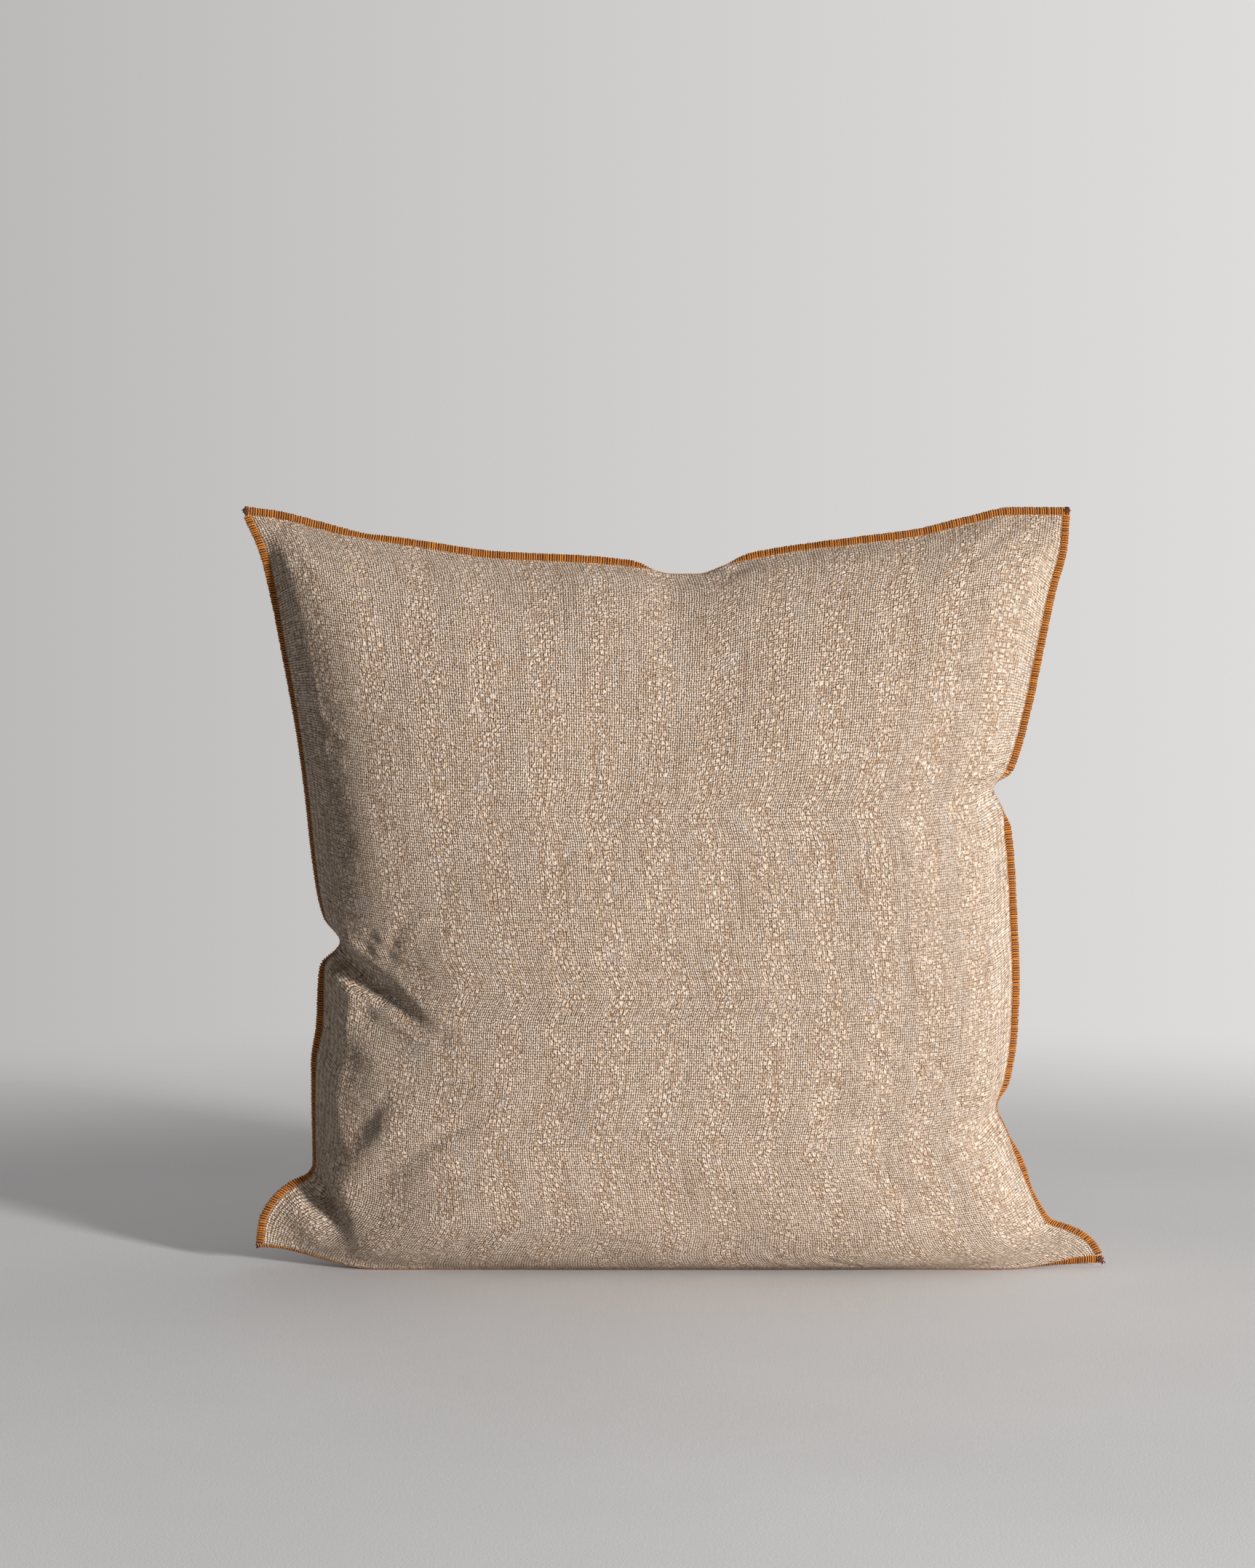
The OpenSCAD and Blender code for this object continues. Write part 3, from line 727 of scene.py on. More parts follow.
def linen():
    """Heavy cloth in soft upright bands: a fine plain weave in turn with rows of thick nubs."""
    r = Recipe("linen", 0.92, Sheen_Weight=0.1, Sheen_Roughness=0.5, Specular_IOR_Level=0.25)
    u, v = r.uv()
    flat = r.vector(u, v)
    crossed = r.vector(v, u)
    u_bent = r.math("ADD", u, r.math("MULTIPLY_ADD", r.noise(flat, 150), 0.0016, -0.0008))
    v_bent = r.math("ADD", v, r.math("MULTIPLY_ADD", r.noise(crossed, 180), 0.0016, -0.0008))
    loose = r.spread(r.noise(flat, 620, 2, 0.6), 0.3, 0.7, 0.6, 1.2)
    fine = r.math("MULTIPLY", woven(r, u_bent, v_bent, 0.00155), loose)

    # Nubs of thick yarn with gaps round them, which the colour below darkens as painted shade
    cell = r.vector(r.math("DIVIDE", u_bent, 0.0031), r.math("DIVIDE", v_bent, 0.0028))
    named = {"Vector": cell, "Scale": 1, "Randomness": 0.75}
    gaps = r.node("ShaderNodeTexVoronoi", named=named, feature="DISTANCE_TO_EDGE").outputs["Distance"]
    yarn = r.parts(r.node("ShaderNodeTexVoronoi", named=named, feature="F1").outputs["Color"])
    nub = r.spread(gaps, 0.0, 0.32)

    # Bands with ragged sides, some of them fainter
    ragged = r.noise(r.vector(r.math("MULTIPLY", u, 2), v), 34, 4, 0.65)
    phase = r.math("MULTIPLY_ADD", ragged, 7, r.math("MULTIPLY", u, 2 * math.pi / 0.0375))
    band = r.spread(r.math("SINE", r.math("ADD", phase, 1.2)), -0.9, 0.7, 0.25, 0.85)
    nubby = r.math("MULTIPLY_ADD", fine, 0.4, r.math("MULTIPLY", nub, 0.6))
    relief = r.math("MULTIPLY_ADD", r.math("SUBTRACT", nubby, fine), band, fine)
    height = r.math("MULTIPLY_ADD", r.noise(flat, 2400, 2, 0.7), 0.3, relief)

    # Painted shade: dark ochre where the weave lies low and beige on its raised threads, with single brown,
    # pale, pink, blue-grey and dark yarns
    colour = r.mix(r.spread(height, 0.2, 0.85), (122, 90, 64), (247, 224, 201))
    streak = r.noise(r.vector(r.math("MULTIPLY", u, 460), r.math("MULTIPLY", v, 16)), 1, 3, 0.65)
    pick = r.noise(r.vector(r.math("MULTIPLY", u, 30), r.math("MULTIPLY", v, 560)), 1, 2, 0.6)
    heather = r.noise(flat, 230, 3, 0.7)
    colour = r.tint(colour, streak, 0.5, 0.68, 0.6, (166, 132, 98))
    colour = r.tint(colour, streak, 0.46, 0.3, 0.4, (238, 219, 200))
    colour = r.tint(colour, pick, 0.52, 0.72, 0.4, (234, 215, 198))
    colour = r.tint(colour, heather, 0.53, 0.68, 0.6, (180, 142, 102))
    colour = r.tint(colour, heather, 0.45, 0.3, 0.5, (236, 213, 204))
    colour = r.tint(colour, r.noise(crossed, 50, 3, 0.6), 0.58, 0.72, 0.2, (214, 214, 216))
    for channel, low, amount, shade in ((0, 0.6, 0.3, (232, 218, 205)), (1, 0.55, 0.4, (176, 142, 110))):
        share = r.math("MULTIPLY", r.spread(yarn[channel], low, 1, 0, amount), band)
        colour = r.mix(share, colour, shade)
    colour = r.tint(colour, r.noise(crossed, 600, 1, 0.4), 0.62, 0.72, 0.8, (96, 70, 50))
    colour = r.tint(colour, r.noise(flat, 520, 1, 0.4), 0.6, 0.7, 0.6, (250, 234, 220))
    return r.done(colour, height, 0.0025)


def twisted(r, along, pitch, around, slant):
    """Height of a thread's twist, whose strands lie that far apart along it and slant round it."""
    phase = r.math("MULTIPLY_ADD", along, 2 * math.pi / pitch, r.math("MULTIPLY", around, slant))
    return r.math("MULTIPLY_ADD", r.math("SINE", phase), 0.5, 0.5)


def edging_thread():
    """Rust thread over a core painted dark as the shade between the wraps. The second UV number is below 0
    on what lies under the wraps.
    """
    r = Recipe("edging_thread", 0.62, Sheen_Weight=0.2, Sheen_Roughness=0.4, Specular_IOR_Level=0.35)
    u, v = r.uv()
    tone = r.noise(r.vector(u, 0.0), 950)
    colour = r.mix(r.spread(tone, 0.35, 0.65), (146, 85, 14), (200, 124, 26))
    colour = r.tint(colour, r.noise(r.vector(u, 0.3), 40), 0.4, 0.7, 0.35, (168, 100, 20))
    # painted shade: what lies under the wraps is coloured dark, as the shadow between the loops
    colour = r.mix(r.spread(v, -0.001, 0.0), (70, 32, 12), colour)
    return r.done(colour, twisted(r, v, 0.0011, u, 9000), 0.00012)


def thread(name, dark, light):
    """Sewing thread in two tones."""
    r = Recipe(name, 0.7, Sheen_Weight=0.1, Specular_IOR_Level=0.3)
    u, v = r.uv()
    colour = r.mix(r.spread(r.noise(r.vector(u, v), 700), 0.35, 0.65), dark, light)
    return r.done(colour, twisted(r, u, 0.0012, v, 1000), 0.0001)


def zip_tape():
    """Close twill tape, in herringbone ribs."""
    r = Recipe("zip_tape", 0.85, Sheen_Weight=0.1, Specular_IOR_Level=0.25)
    u, v = r.uv()
    zigzag = r.math("PINGPONG", v, 0.0015)
    rib = r.math("SINE", r.math("MULTIPLY", r.math("ADD", u, zigzag), 2 * math.pi / 0.0009))
    height = r.math("MULTIPLY_ADD", rib, 0.5, 0.5)
    # painted shade: darker in the furrows between the ribs, lighter on their crests
    colour = r.mix(r.spread(height, 0, 1), (164, 138, 112), (196, 170, 142))
    colour = r.tint(colour, r.noise(r.vector(u, v), 300, 3), 0.4, 0.7, 0.3, (178, 150, 120))
    return r.done(colour, height, 0.00015)


def zip_coil():
    """Nylon, nearly smooth."""
    r = Recipe("zip_coil", 0.38, Specular_IOR_Level=0.45)
    flat = r.vector(*r.uv())
    colour = r.mix(r.spread(r.noise(flat, 120), 0.35, 0.65), (168, 138, 104), (188, 158, 124))
    return r.done(colour, r.noise(flat, 1500), 0.00002)


def zip_metal():
    """Antique brass, rubbed brighter in places and darker in its pits."""
    r = Recipe("zip_metal", 0.34, Metallic=1.0)
    wear = r.noise(r.place(), 260, 4, 0.65)
    colour = r.mix(r.spread(wear, 0.38, 0.66), (120, 94, 60), (178, 146, 98))
    r.set(r.shader.inputs["Roughness"], r.spread(wear, 0.3, 0.7, 0.42, 0.26))
    return r.done(colour, r.noise(r.place(), 2400, 2, 0.6), 0.00003)


def ticking():
    """Close white cotton of the insert."""
    r = Recipe("ticking", 0.85, Sheen_Weight=0.1, Specular_IOR_Level=0.25)
    height = woven(r, *r.uv(), 0.0005)
    # painted shade: darker in the gaps of the weave, lighter on its threads
    colour = r.mix(r.spread(height, 0, 1), (214, 210, 202), (240, 238, 232))
    return r.done(colour, height, 0.0001)


def feather():
    """White feathers and down."""
    r = Recipe("feather_fill", 0.95, Sheen_Weight=0.3, Specular_IOR_Level=0.2)
    down = r.noise(r.place(), 90, 5, 0.7)
    # painted shade: darker where the down lies low, lighter where it stands up
    colour = r.mix(r.spread(down, 0.35, 0.65), (222, 218, 210), (248, 246, 241))
    return r.done(colour, down, 0.003)


def floor_paint():
    """Pale matt paint that fades out away from the pillow."""
    r = Recipe("floor", 0.75, Specular_IOR_Level=0.3)
    cloud = r.noise(r.place(), 3, 4, 0.5)
    colour = r.mix(r.spread(cloud, 0.3, 0.7), (209, 209, 211), (214, 214, 216))
    away = r.node("ShaderNodeVectorMath", r.place(), (0, -0.35, 0), operation="DISTANCE").outputs["Value"]
    r.set(r.shader.inputs["Alpha"], r.spread(away, 0.75, 1.5, 1, 0))
    return r.done(colour, r.noise(r.place(), 700, 2, 0.6), 0.0001)


MATERIALS = {
    "linen": linen(),
    "edging_thread": edging_thread(),
    "knot_thread": thread("knot_thread", (52, 24, 20), (120, 66, 58)),
    "sewing_thread": thread("sewing_thread", (176, 150, 120), (208, 184, 156)),
    "zip_tape": zip_tape(),
    "zip_coil": zip_coil(),
    "zip_metal": zip_metal(),
    "ticking": ticking(),
    "feather_fill": feather(),
}

# ---- panels of the cover ----

ALLOWANCE = EDGING - THREAD - 0.4 * MM
SEAM_FACE = PRESSED + 0.05 * MM  # from the seam's middle to the outside of either panel
# Where the rows of cloth that are turned under at the opening lie in the weave, from its edge
HEM_V = np.array([8, 1, 0, -1, -0.5]) * MM
UPPER_ROWS = slice((ROWS_LOW + 2) * FINER, None)    # fine rows above and below the opening
LOWER_ROWS = slice(ROWS_LOW * FINER, None, -1)
MID_ROW = (ROWS_LOW + 1) * FINER
FRONT, BACK = cover_grids()
FRONT, BACK = folded(calmed(FRONT), -1), folded(BACK, 1)
FIN = {edge: seam_allowance(edge, FINE_ROWS if edge in SIDES else FINE_COLUMNS) for edge in SEAMS}


def panel_layers(grid, face):
    """Outer and inner surface of a panel, drawn together at the seams."""
    pull = np.zeros_like(grid)
    total = np.zeros(grid.shape[:2] + (1,))
    for edge, far in from_edges(PANEL).items():
        weight = 1 - smooth(0, 9 * MM, far)
        way = FIN[edge][2]
        pull = pull + weight * (way[:, None] if edge in SIDES else way[None])
        total = total + weight
    pull = -face * pull / np.maximum(total, 1)
    total = np.minimum(total, 1)
    outer = grid + pull * SEAM_FACE
    inward = unit(normals(grid, face) * (1 - total) + pull)
    return outer, outer - inward * (CLOTH + (PRESSED - CLOTH) * total)


def with_side_allowances(grid, rows=slice(None), hem=0):
    """A panel that has those rows, with that many of its hem before them, and its side allowances."""
    left, right = (np.concatenate([np.repeat(way[:1], hem, 0), way])[:, None] * ALLOWANCE
                   for way in (FIN["left"][1][rows], FIN["right"][1][rows]))
    return np.concatenate([grid[:, :1] + left, grid, grid[:, -1:] + right], 1)


def end_allowance(row, edge):
    """The row of points on a seam, carried out to the end of its allowance."""
    out = FIN[edge][1] * ALLOWANCE
    return (row + np.concatenate([out[:1], out, out[-1:]]))[None]


def panel_uv(rows):
    u = np.concatenate([[-ALLOWANCE], FINE_COLUMNS * PANEL, [PANEL + ALLOWANCE]])
    return np.stack(np.meshgrid(u, rows), -1)


def with_hem(outer, inner, side):
    """Closes the opening beyond the zip's ends and turns the cloth under along it. side is 1 for
    the upper panel; the panel's rows run away from the opening."""
    closing = smooth(ZIP_HALF - 1 * MM, ZIP_HALF + 5 * MM, np.abs(BACK[MID_ROW][:, 0]))[:, None]
    shut = BACK[MID_ROW] + side * np.array(ZIP_UP) * 0.1 * MM - normals(BACK, 1)[MID_ROW] * 0.9 * MM
    move = (shut - outer[0]) * closing
    for number in range(3):
        outer[number] += move * (1 - number / 3)
        inner[number] += move * (1 - number / 3)
    thinning = 0.2 + 0.8 * smooth(2 * MM, 20 * MM, edge_distance(FINE_COLUMNS))
    n = unit(outer[0] - inner[0]) * thinning[:, None]
    away = unit(outer[4] - outer[1])

    def turned(*places):
        """Rows of cloth, each so many mm from its row of the panel and so many cloths under it."""
        return np.stack([outer[row] + away * shift * MM - n * depth * CLOTH
                         for row, shift, depth in places])

    outer_hem = turned((3, 0, 2.15), (0, 0.9, 2.15), (0, -0.1, 1.8), (0, -0.55, 1), (0, -0.25, 0.25))
    inner_hem = turned((3, 0, 1.2), (0, 1.1, 1.2), (0, 0.8, 1.15), (0, 0.7, 1.08), (0, 0.8, 1.02))
    outer[0] = outer[0] + away * 0.3 * MM
    inner[0] = inner[0] + away * 1.0 * MM
    return np.concatenate([outer_hem, outer]), np.concatenate([inner_hem, inner])


def front_piece():
    layers = []
    for grid in panel_layers(FRONT, -1):
        grid = with_side_allowances(grid)
        low, high = end_allowance(grid[0], "bottom"), end_allowance(grid[-1], "top")
        layers.append(np.concatenate([low, grid, high]))
    v = np.concatenate([[-ALLOWANCE], FINE_ROWS * PANEL, [PANEL + ALLOWANCE]])
    declare(slab("front_cloth", *layers, -1, panel_uv(v)), "linen", "front_panel")


def back_piece(level, side, rows, edge):
    """The back's cloth above (1) or below (-1) the zip."""
    outer, inner = panel_layers(BACK, 1)
    layers = []
    for grid in with_hem(outer[rows].copy(), inner[rows].copy(), side):
        grid = with_side_allowances(grid, rows, len(HEM_V))
        layers.append(np.concatenate([grid, end_allowance(grid[-1], edge)]))
    v = FINE_ROWS[rows] * PANEL
    v = np.concatenate([v[0] + side * HEM_V, v, [v[-1] + side * ALLOWANCE]])
    piece = slab("back_%s_cloth" % level, *layers, side, panel_uv(v))
    declare(piece, "linen", "back_panel_" + level)


front_piece()
back_piece("upper", 1, UPPER_ROWS, "top")
back_piece("lower", -1, LOWER_ROWS, "bottom")

# ---- overlocked edging: thread wrapped round each seam allowance ----

WRAP_PITCH = 1.4 * MM
WRAP_POINTS = 16             # round the allowance
WRAP_SIDES = 6               # round the thread
CORE_RINGS = 260
CORE_POINTS = 12


def flat_ring(angle, reach, half):
    """A flattened loop round an allowance: how far out of the seam, and to its side."""
    c, s = np.cos(angle), np.sin(angle)
    return (reach / 2 + reach / 2 * np.sign(c) * np.abs(c) ** 0.5, half * np.sign(s) * np.abs(s) ** 0.5)


def over_corner(edge):
    """Share of its seam by which the upper and the lower edging run on over the corners."""
    return 0 if edge in SIDES else (EDGING - THREAD) / PANEL


def edging_line(edge, share):
    """The seam at shares that may lie beyond its ends: points, way out, normal and way along."""
    points, out, normal = seam_allowance(edge, np.clip(share, 0, 1))
    ends = at_shares(SEAMS[edge], [0, 0.01, 0.99, 1])
    first, last = unit(ends[1] - ends[0]), unit(ends[3] - ends[2])
    points = points + (np.minimum(share, 0) * PANEL)[:, None] * first
    points = points + (np.maximum(share - 1, 0) * PANEL)[:, None] * last
    return points, out, normal, unit(np.gradient(points, axis=0))


def edging_wraps(edge, rng):
    """Loops of thread round the allowance, as points, quads and UVs."""
    length = lengths(SEAMS[edge])[-1]
    count = int(length / WRAP_PITCH)
    share = (np.arange(count) + 0.5 + rng.uniform(-0.12, 0.12, count)) / count
    share = share * (1 + 2 * over_corner(edge)) - over_corner(edge)
    points, out, normal, along = (values[:, None] for values in edging_line(edge, share))
    around = np.arange(WRAP_POINTS) * 2 * math.pi / WRAP_POINTS
    c, s = np.cos(around)[None, :, None], np.sin(around)[None, :, None]
    reach = (EDGING - THREAD / 2 + rng.uniform(-0.22, 0.12, count) * MM)[:, None]
    a, b = flat_ring(around[None, :], reach, SEAM_FACE + 0.32 * MM)
    slant = 0.5 * WRAP_PITCH * s + rng.uniform(-0.1, 0.1, count)[:, None, None] * MM
    centre = points + out * a[:, :, None] + normal * b[:, :, None] + along * slant
    outward = unit(out * c * 0.8 + normal * s)
    thick = THREAD * 0.72 * (1 + rng.uniform(-0.08, 0.08, count))[:, None, None, None]
    turn = np.arange(WRAP_SIDES)[:, None] * 2 * math.pi / WRAP_SIDES
    loops = (centre[:, :, None] + outward[:, :, None] * np.cos(turn) * thick * 0.75
             + along[:, :, None] * np.sin(turn) * thick)
    first = np.arange(count)[:, None, None] * WRAP_POINTS * WRAP_SIDES
    quads = (first + ring_quads(WRAP_POINTS, WRAP_SIDES, True)[None]).reshape(-1, 4)
    uv = np.stack(np.broadcast_arrays((share * length)[:, None, None], (around * 2.2 * MM)[None, :, None],
                                      np.zeros((1, 1, WRAP_SIDES)))[:2], -1)
    return loops.reshape(-1, 3), quads, uv.reshape(-1, 2)


def edging_core(edge):
    """The thread that lies under the wraps, coloured dark as painted shade between them. The corner's knots
    cover its open ends.
    """
    share = np.linspace(-over_corner(edge), 1 + over_corner(edge), CORE_RINGS)
    points, out, normal, _ = edging_line(edge, share)
    around = np.arange(CORE_POINTS) * 2 * math.pi / CORE_POINTS
    a, b = flat_ring(around, EDGING - THREAD * 1.2, SEAM_FACE + 0.18 * MM)
    core = points[:, None] + out[:, None] * a[None, :, None] + normal[:, None] * b[None, :, None]
    u = (share * lengths(SEAMS[edge])[-1])[:, None]
    uv = np.stack(np.broadcast_arrays(u, np.full((1, CORE_POINTS), -0.01)), -1)
    return core.reshape(-1, 3), ring_quads(CORE_RINGS, CORE_POINTS, False), uv.reshape(-1, 2)


for number, edge in enumerate(SEAMS):
    parts = [edging_wraps(edge, np.random.default_rng(20 + number)), edging_core(edge)]
    declare(joined("edging_%s_thread" % edge, parts), "edging_thread", "edging_" + edge)

# ---- knotted thread ends at the corners ----


def corner_knot(row, column):
    """A few tight turns round the corner of the allowances, and loose ends."""
    side, up = (-1 if column == "left" else 1), (1 if row == "top" else -1)
    rng = np.random.default_rng(40 + 2 * side + up)
    end = -1 if up > 0 else 0
    points, ways, side_normals = FIN[column]
    out = unit(ways[end] + FIN[row][1][0 if side < 0 else -1])
    normal = side_normals[end]
    across = np.cross(out, normal)
    middle = points[end] + out * 4.0 * MM + normal * 0.6 * MM
    paths = []
    turn = np.linspace(0, 2 * math.pi, 15)[:, None]
    for number in range(5):
        centre = middle + out * (number - 2) * 0.6 * MM + across * rng.uniform(-0.5, 0.5) * MM
        tilted = across + out * rng.uniform(-0.35, 0.35)
        paths.append(centre + normal * 1.75 * MM * np.cos(turn) + tilted * 1.5 * MM * np.sin(turn))
    for number in range(3):
        way = unit(out + across * rng.uniform(-0.9, 0.9) + normal * rng.uniform(-0.5, 0.9))
        t = np.linspace(0, 1, 9)[:, None]
        droop = np.array([0, 0, -1]) * t ** 2 * 0.8 * MM
        paths.append(middle + out * 0.6 * MM + way * t * rng.uniform(2.0, 3.2) * MM + droop)
    name = "knot_%s_%s" % (row, column)
    declare(threads(name + "_thread", paths, 0.42 * MM), "knot_thread", name)


for row in ("top", "bottom"):
    for column in SIDES:
        corner_knot(row, column)

# ---- zip ----

TAPE_T = 0.6 * MM
TAPE_OUT = -TAPE_DEPTH + TAPE_T / 2      # outer side of the tapes
COIL_UP = 2.05 * MM                      # from the chain's middle to the middle of a row of coil
COIL_OUT = TAPE_OUT + 1.05 * MM
COIL_PITCH = 1.45 * MM
HEM_LINE = 3 * MM                        # from the opening to the stitches of its hem
STITCH = 3.5 * MM
CLAMP_LONG = 2.2 * MM                    # size of the stops' metal along the zip


def at_zip(local):
    """Points of the zip's own frame (along, out, up), in the row frame."""
    axes = np.array([(1, 0, 0), ZIP_OUT, ZIP_UP])
    return np.array(ZIP_MIDDLE) + np.asarray(local, float) @ axes


def tape_piece(level, side):
    """A strip of tape with a thicker edge under the coil and at its far side."""
    half = TAPE_UP_BOX[1].x
    across = np.array([0.78, 0.9, 1.4, 3.3, 3.6, 8, 12.4, 12.7]) * MM
    lift = np.array([-0.1, 0, 0, 0, -0.05, -0.05, -0.05, -0.15])[:, None] * MM
    x, up = np.meshgrid(np.linspace(-half, half, 120), across)
    ripple = 0.04 * MM * np.sin(x / (9 * MM) + side)
    top = at_zip(np.stack([x, TAPE_OUT + lift + ripple, side * up], -1))
    low = at_zip(np.stack([x, TAPE_OUT - TAPE_T - lift * 0.5 + ripple, side * up], -1))
    name = "zip_tape_" + level
    declare(slab(name + "_cloth", top, low, side, np.stack([x, up], -1)), "zip_tape", name)


def coil_piece(level, side):
    """One continuous nylon coil, with the cord it is wound round."""
    low, high = COIL_BOX[0].x, COIL_BOX[1].x
    steps = 12
    angle = np.arange(int((high - low) / COIL_PITCH) * steps + 1) * 2 * math.pi / steps
    x = low + (high - low) * angle / angle[-1]
    up = side * (COIL_UP - 1.15 * MM * np.cos(angle))
    coil = np.stack([x, COIL_OUT + 0.68 * MM * np.sin(angle), up], -1)
    x = np.linspace(low, high, 60)
    cord = np.stack([x, np.full(60, COIL_OUT), np.full(60, side * (COIL_UP + 0.25 * MM))], -1)
    name = "zip_coil_" + level
    parts = [tube(at_zip(coil), 0.33 * MM, 6), tube(at_zip(cord), 0.42 * MM)]
    declare(joined(name + "_nylon", parts), "zip_coil", name)


def rounded_block(centre, size, radius):
    """A block with rounded edges in the zip's own frame, as points and faces."""
    bm = bmesh.new()
    bmesh.ops.create_cube(bm, size=1)
    bmesh.ops.scale(bm, vec=size, verts=bm.verts)
    bmesh.ops.bevel(bm, geom=list(bm.edges), offset=radius, segments=3, profile=0.5, affect="EDGES")
    points = np.array([list(v.co) for v in bm.verts]) + np.array(centre)
    faces = [[v.index for v in f.verts] for f in bm.faces]
    bm.free()
    return points, faces


def metal_piece(name, blocks, node):
    points = np.concatenate([block[0] for block in blocks])
    starts = np.cumsum([0] + [len(block[0]) for block in blocks])
    faces = [[k + start for k in face] for block, start in zip(blocks, starts) for face in block[1]]
    mesh = bpy.data.meshes.new(name)
    mesh.from_pydata(at_zip(points).tolist(), [], faces)
    mesh.shade_smooth()
    mesh.set_sharp_from_angle(angle=math.radians(40))
    declare(link(name, mesh), "zip_metal", node)


def stop_blocks(x):
    """Two clamps, each bent round one row of coil."""
    blocks = []
    for side in (-1, 1):
        up = side * COIL_UP
        back = (CLAMP_LONG, 0.45 * MM, 2.7 * MM)
        blocks.append(rounded_block((x, COIL_OUT + 1.05 * MM, up), back, 0.18 * MM))
        for wall in (-1, 1):
            place = (x, COIL_OUT + 0.25 * MM, up + wall * 1.2 * MM)
            blocks.append(rounded_block(place, (CLAMP_LONG, 1.9 * MM, 0.4 * MM), 0.15 * MM))
    return blocks


def stops():
    """The stops at both ends of the zip; a bridge joins the clamps of the one at its open end."""
    x = (STOP_BOX[0].x + STOP_BOX[1].x) / 2
    bridge = rounded_block((-x, TAPE_OUT + 0.55 * MM, 0), (CLAMP_LONG, 0.8 * MM, 1.9 * MM), 0.2 * MM)
    metal_piece("zip_stops_closed_clamps", stop_blocks(x), "zip_stops_closed")
    metal_piece("zip_stop_open_clamp", stop_blocks(-x) + [bridge], "zip_stop_open")


def stitch_row(level, side):
    """Lockstitches that hold a hem to its tape, each dipping into the cloth at its ends."""
    name = "zip_stitching_" + level
    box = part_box(name)
    t = np.linspace(-1, 1, 9)
    out = 0.12 * MM - 0.55 * MM * t ** 4
    up = np.full(9, side * (SLOT_HALF + HEM_LINE))
    paths = []
    for number in range(int((box[1].x - box[0].x) / STITCH)):
        x = box[0].x + (number + 0.5) * STITCH + t * 0.4 * STITCH
        paths.append(at_zip(np.stack([x, out, up], -1)))
    declare(threads(name + "_thread", paths, 0.3 * MM), "sewing_thread", name)


def bar_tacks():
    """Close stitches across both ends of the opening."""
    rng = np.random.default_rng(50)
    t = np.linspace(-1, 1, 11)
    paths = []
    for end in (-1, 1):
        for number in range(9):
            x = end * (ZIP_HALF + 1 * MM + number * 0.5 * MM) + rng.uniform(-0.1, 0.1) * MM
            out = 0.25 * MM - 0.7 * MM * t ** 4 - 0.1 * MM * (number % 2)
            paths.append(at_zip(np.stack([np.full(11, x), out, t * (SLOT_HALF + 2.2 * MM)], -1)))
    declare(threads("zip_bar_tacks_thread", paths, 0.3 * MM), "sewing_thread", "zip_bar_tacks")


for level, side in (("lower", -1), ("upper", 1)):
    tape_piece(level, side)
    coil_piece(level, side)
stops()
stitch_row("upper", 1)
stitch_row("lower", -1)
bar_tacks()
for name in ("zip_slider", "zip_pull"):
    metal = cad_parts[name]
    metal.data.materials.clear()
    metal.data.materials.append(MATERIALS["zip_metal"])

# ---- feather insert ----

INSET = 2                    # the insert's seam lies this many coarse cells inside the cover's


def insert_grids(depth):
    """Front and back grids of the insert that far under the cover, meeting in one seam."""
    grids = []
    for grid, face in ((FRONT, -1), (BACK, 1)):
        coarse = grid[::FINER, ::FINER]
        room = np.full(coarse.shape[:2], depth)
        if face > 0:
            up = np.abs(ROWS - ZIP_AT)[:, None] * PANEL
            room = room + 5.5 * MM * (1 - smooth(12 * MM, 32 * MM, up))
        inside = coarse - normals(coarse, face) * room[:, :, None]
        grids.append(inside[INSET:-INSET, INSET:-INSET])
    front, back = grids
    rim = np.ones(front.shape[:2] + (1,), bool)
    rim[1:-1, 1:-1] = False
    seam = (front + back) / 2
    return np.where(rim, seam, front), np.where(rim, seam, back)


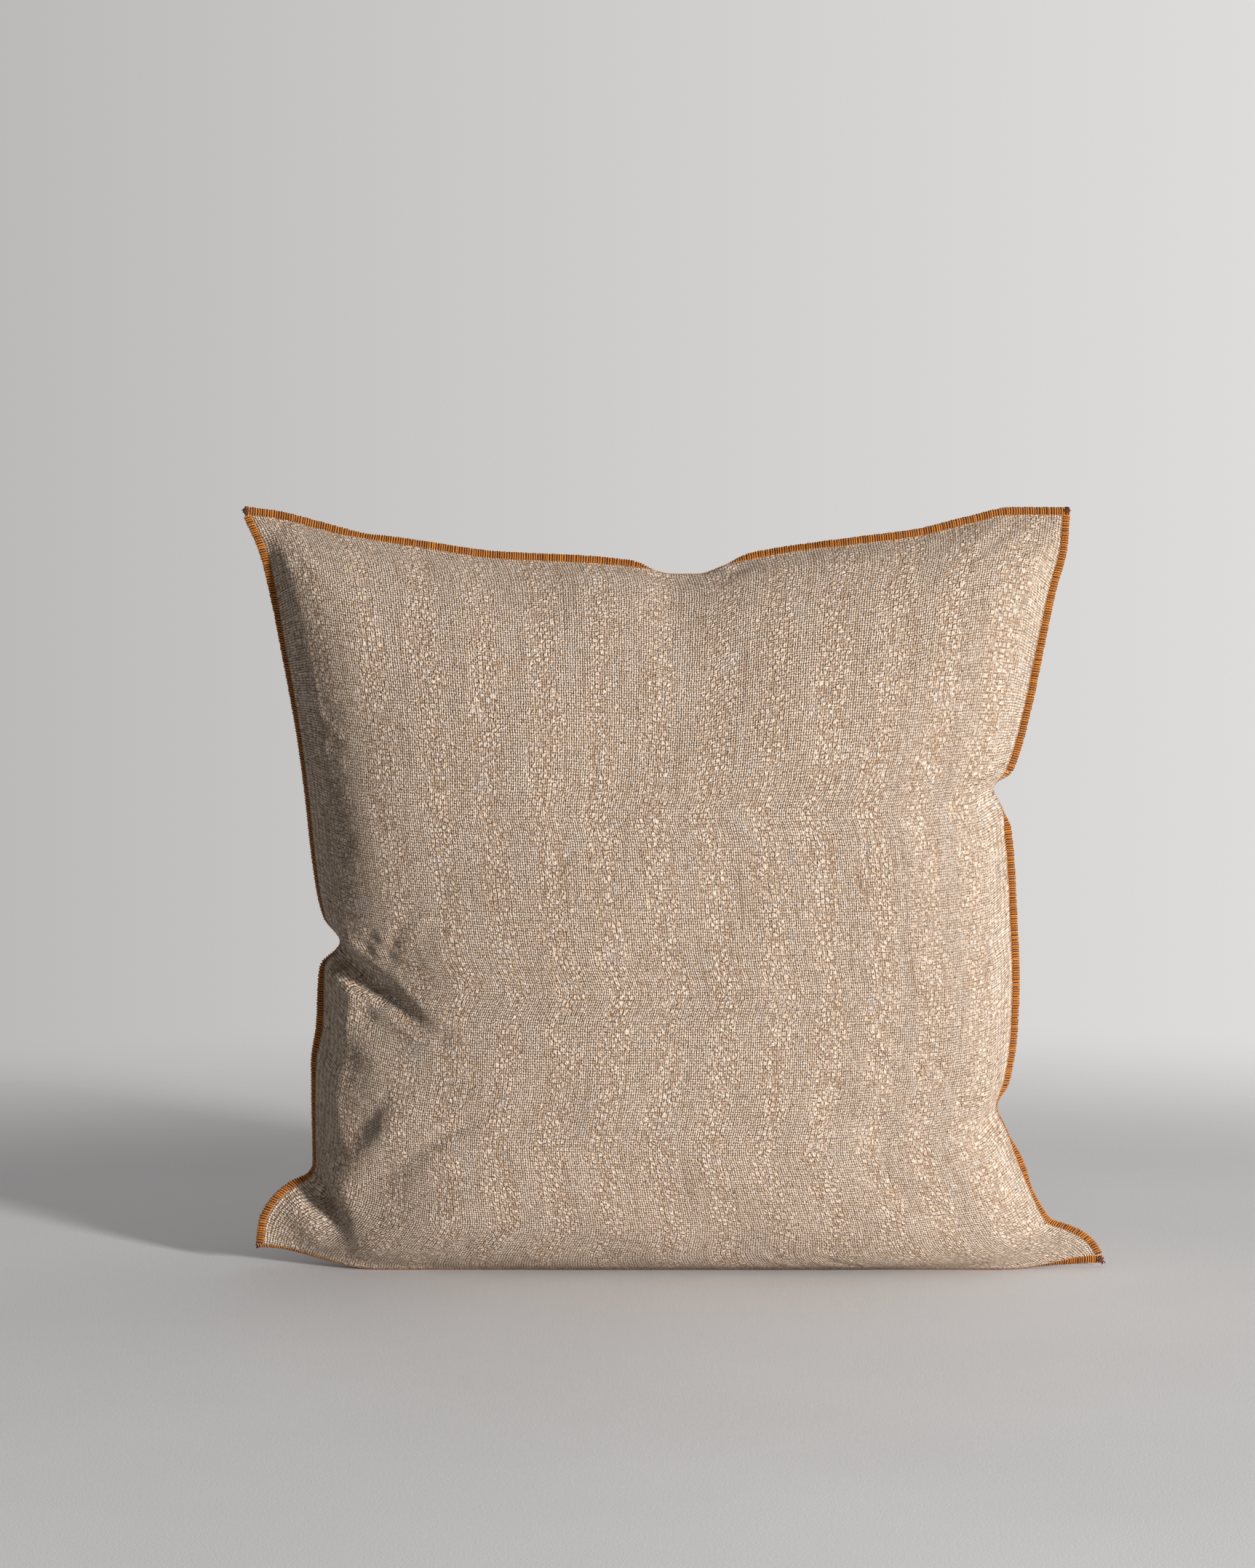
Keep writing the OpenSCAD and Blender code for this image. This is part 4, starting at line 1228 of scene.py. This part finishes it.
def insert_pieces():
    outer_front, outer_back = insert_grids(CLOTH + 1.8 * MM)
    inner_front, inner_back = insert_grids(CLOTH + 2.4 * MM)
    fill_front, fill_back = (grid[1:-1, 1:-1] for grid in insert_grids(CLOTH + 3.4 * MM))
    uv = np.stack(np.meshgrid(COLUMNS[INSET:-INSET], ROWS[INSET:-INSET]), -1) * PANEL
    apart = np.array([0, 0.35 * MM, 0])
    front = slab("insert_front_cloth", outer_front - apart, inner_front - 0.1 * apart, -1, uv)
    back = slab("insert_back_cloth", outer_back + apart, inner_back + 0.1 * apart, 1, uv)
    declare(front, "ticking", "insert_front")
    declare(back, "ticking", "insert_back")
    feathers = slab("insert_feathers", fill_front, fill_back, -1, uv[1:-1, 1:-1])
    declare(feathers, "feather_fill", "insert_fill")
    seam = np.concatenate([outer_front[0], outer_front[1:, -1], outer_front[-1, -2::-1],
                           outer_front[-2:0:-1, 0]])
    binding = add_mesh("insert_binding_cloth", *tube(seam, 1.1 * MM, closed=True))
    declare(binding, "ticking", "insert_binding")


insert_pieces()

# ---- stage ----


def lamp(name, place, aim, size, power, colour):
    data = bpy.data.lights.new(name, "AREA")
    data.size = size
    data.energy = power
    data.color = colour
    obj = link(name, data)
    obj.location = place
    obj.rotation_euler = (Vector(aim) - Vector(place)).to_track_quat("-Z", "Y").to_euler()


def floor():
    corners = np.array([(-4, -4, 0), (4, -4, 0), (4, 4, 0), (-4, 4, 0)])
    obj = add_mesh("floor", corners, np.array([[0, 1, 2, 3]]))
    obj.data.materials.append(floor_paint())


def soft_sky():
    """Light from all round, stronger from the right and from behind."""
    world = bpy.data.worlds.new("world")
    bpy.context.scene.world = world
    world.use_nodes = True
    sky = Nodes(world.node_tree)
    way = sky.parts(sky.node("ShaderNodeTexCoord").outputs["Generated"])
    across = sky.spread(way[0], -0.6, 0.4, 0.35, 1.35)
    behind = sky.spread(way[1], -0.3, 0.6, 0.4, 1.0)
    background = world.node_tree.nodes["Background"]
    background.inputs["Color"].default_value = (1.0, 0.985, 0.965, 1)
    sky.set(background.inputs["Strength"], sky.math("MULTIPLY", sky.math("MULTIPLY", across, behind), 0.62))


def camera():
    obj = link("camera", bpy.data.cameras.new("camera"))
    obj.data.lens = 108.6
    obj.data.sensor_width = 36
    obj.data.clip_end = 50
    obj.location = (-0.028, -2.814, 0.513)
    obj.rotation_euler = (math.radians(90 - 4.55), 0, 0)
    bpy.context.scene.camera = obj


floor()
soft_sky()
lamp("key", (3.6, -4.1, 1.1), (0, 0, 0.22), 0.7, 500, (1, 0.975, 0.94))
camera()
bpy.context.scene.view_settings.view_transform = "Standard"
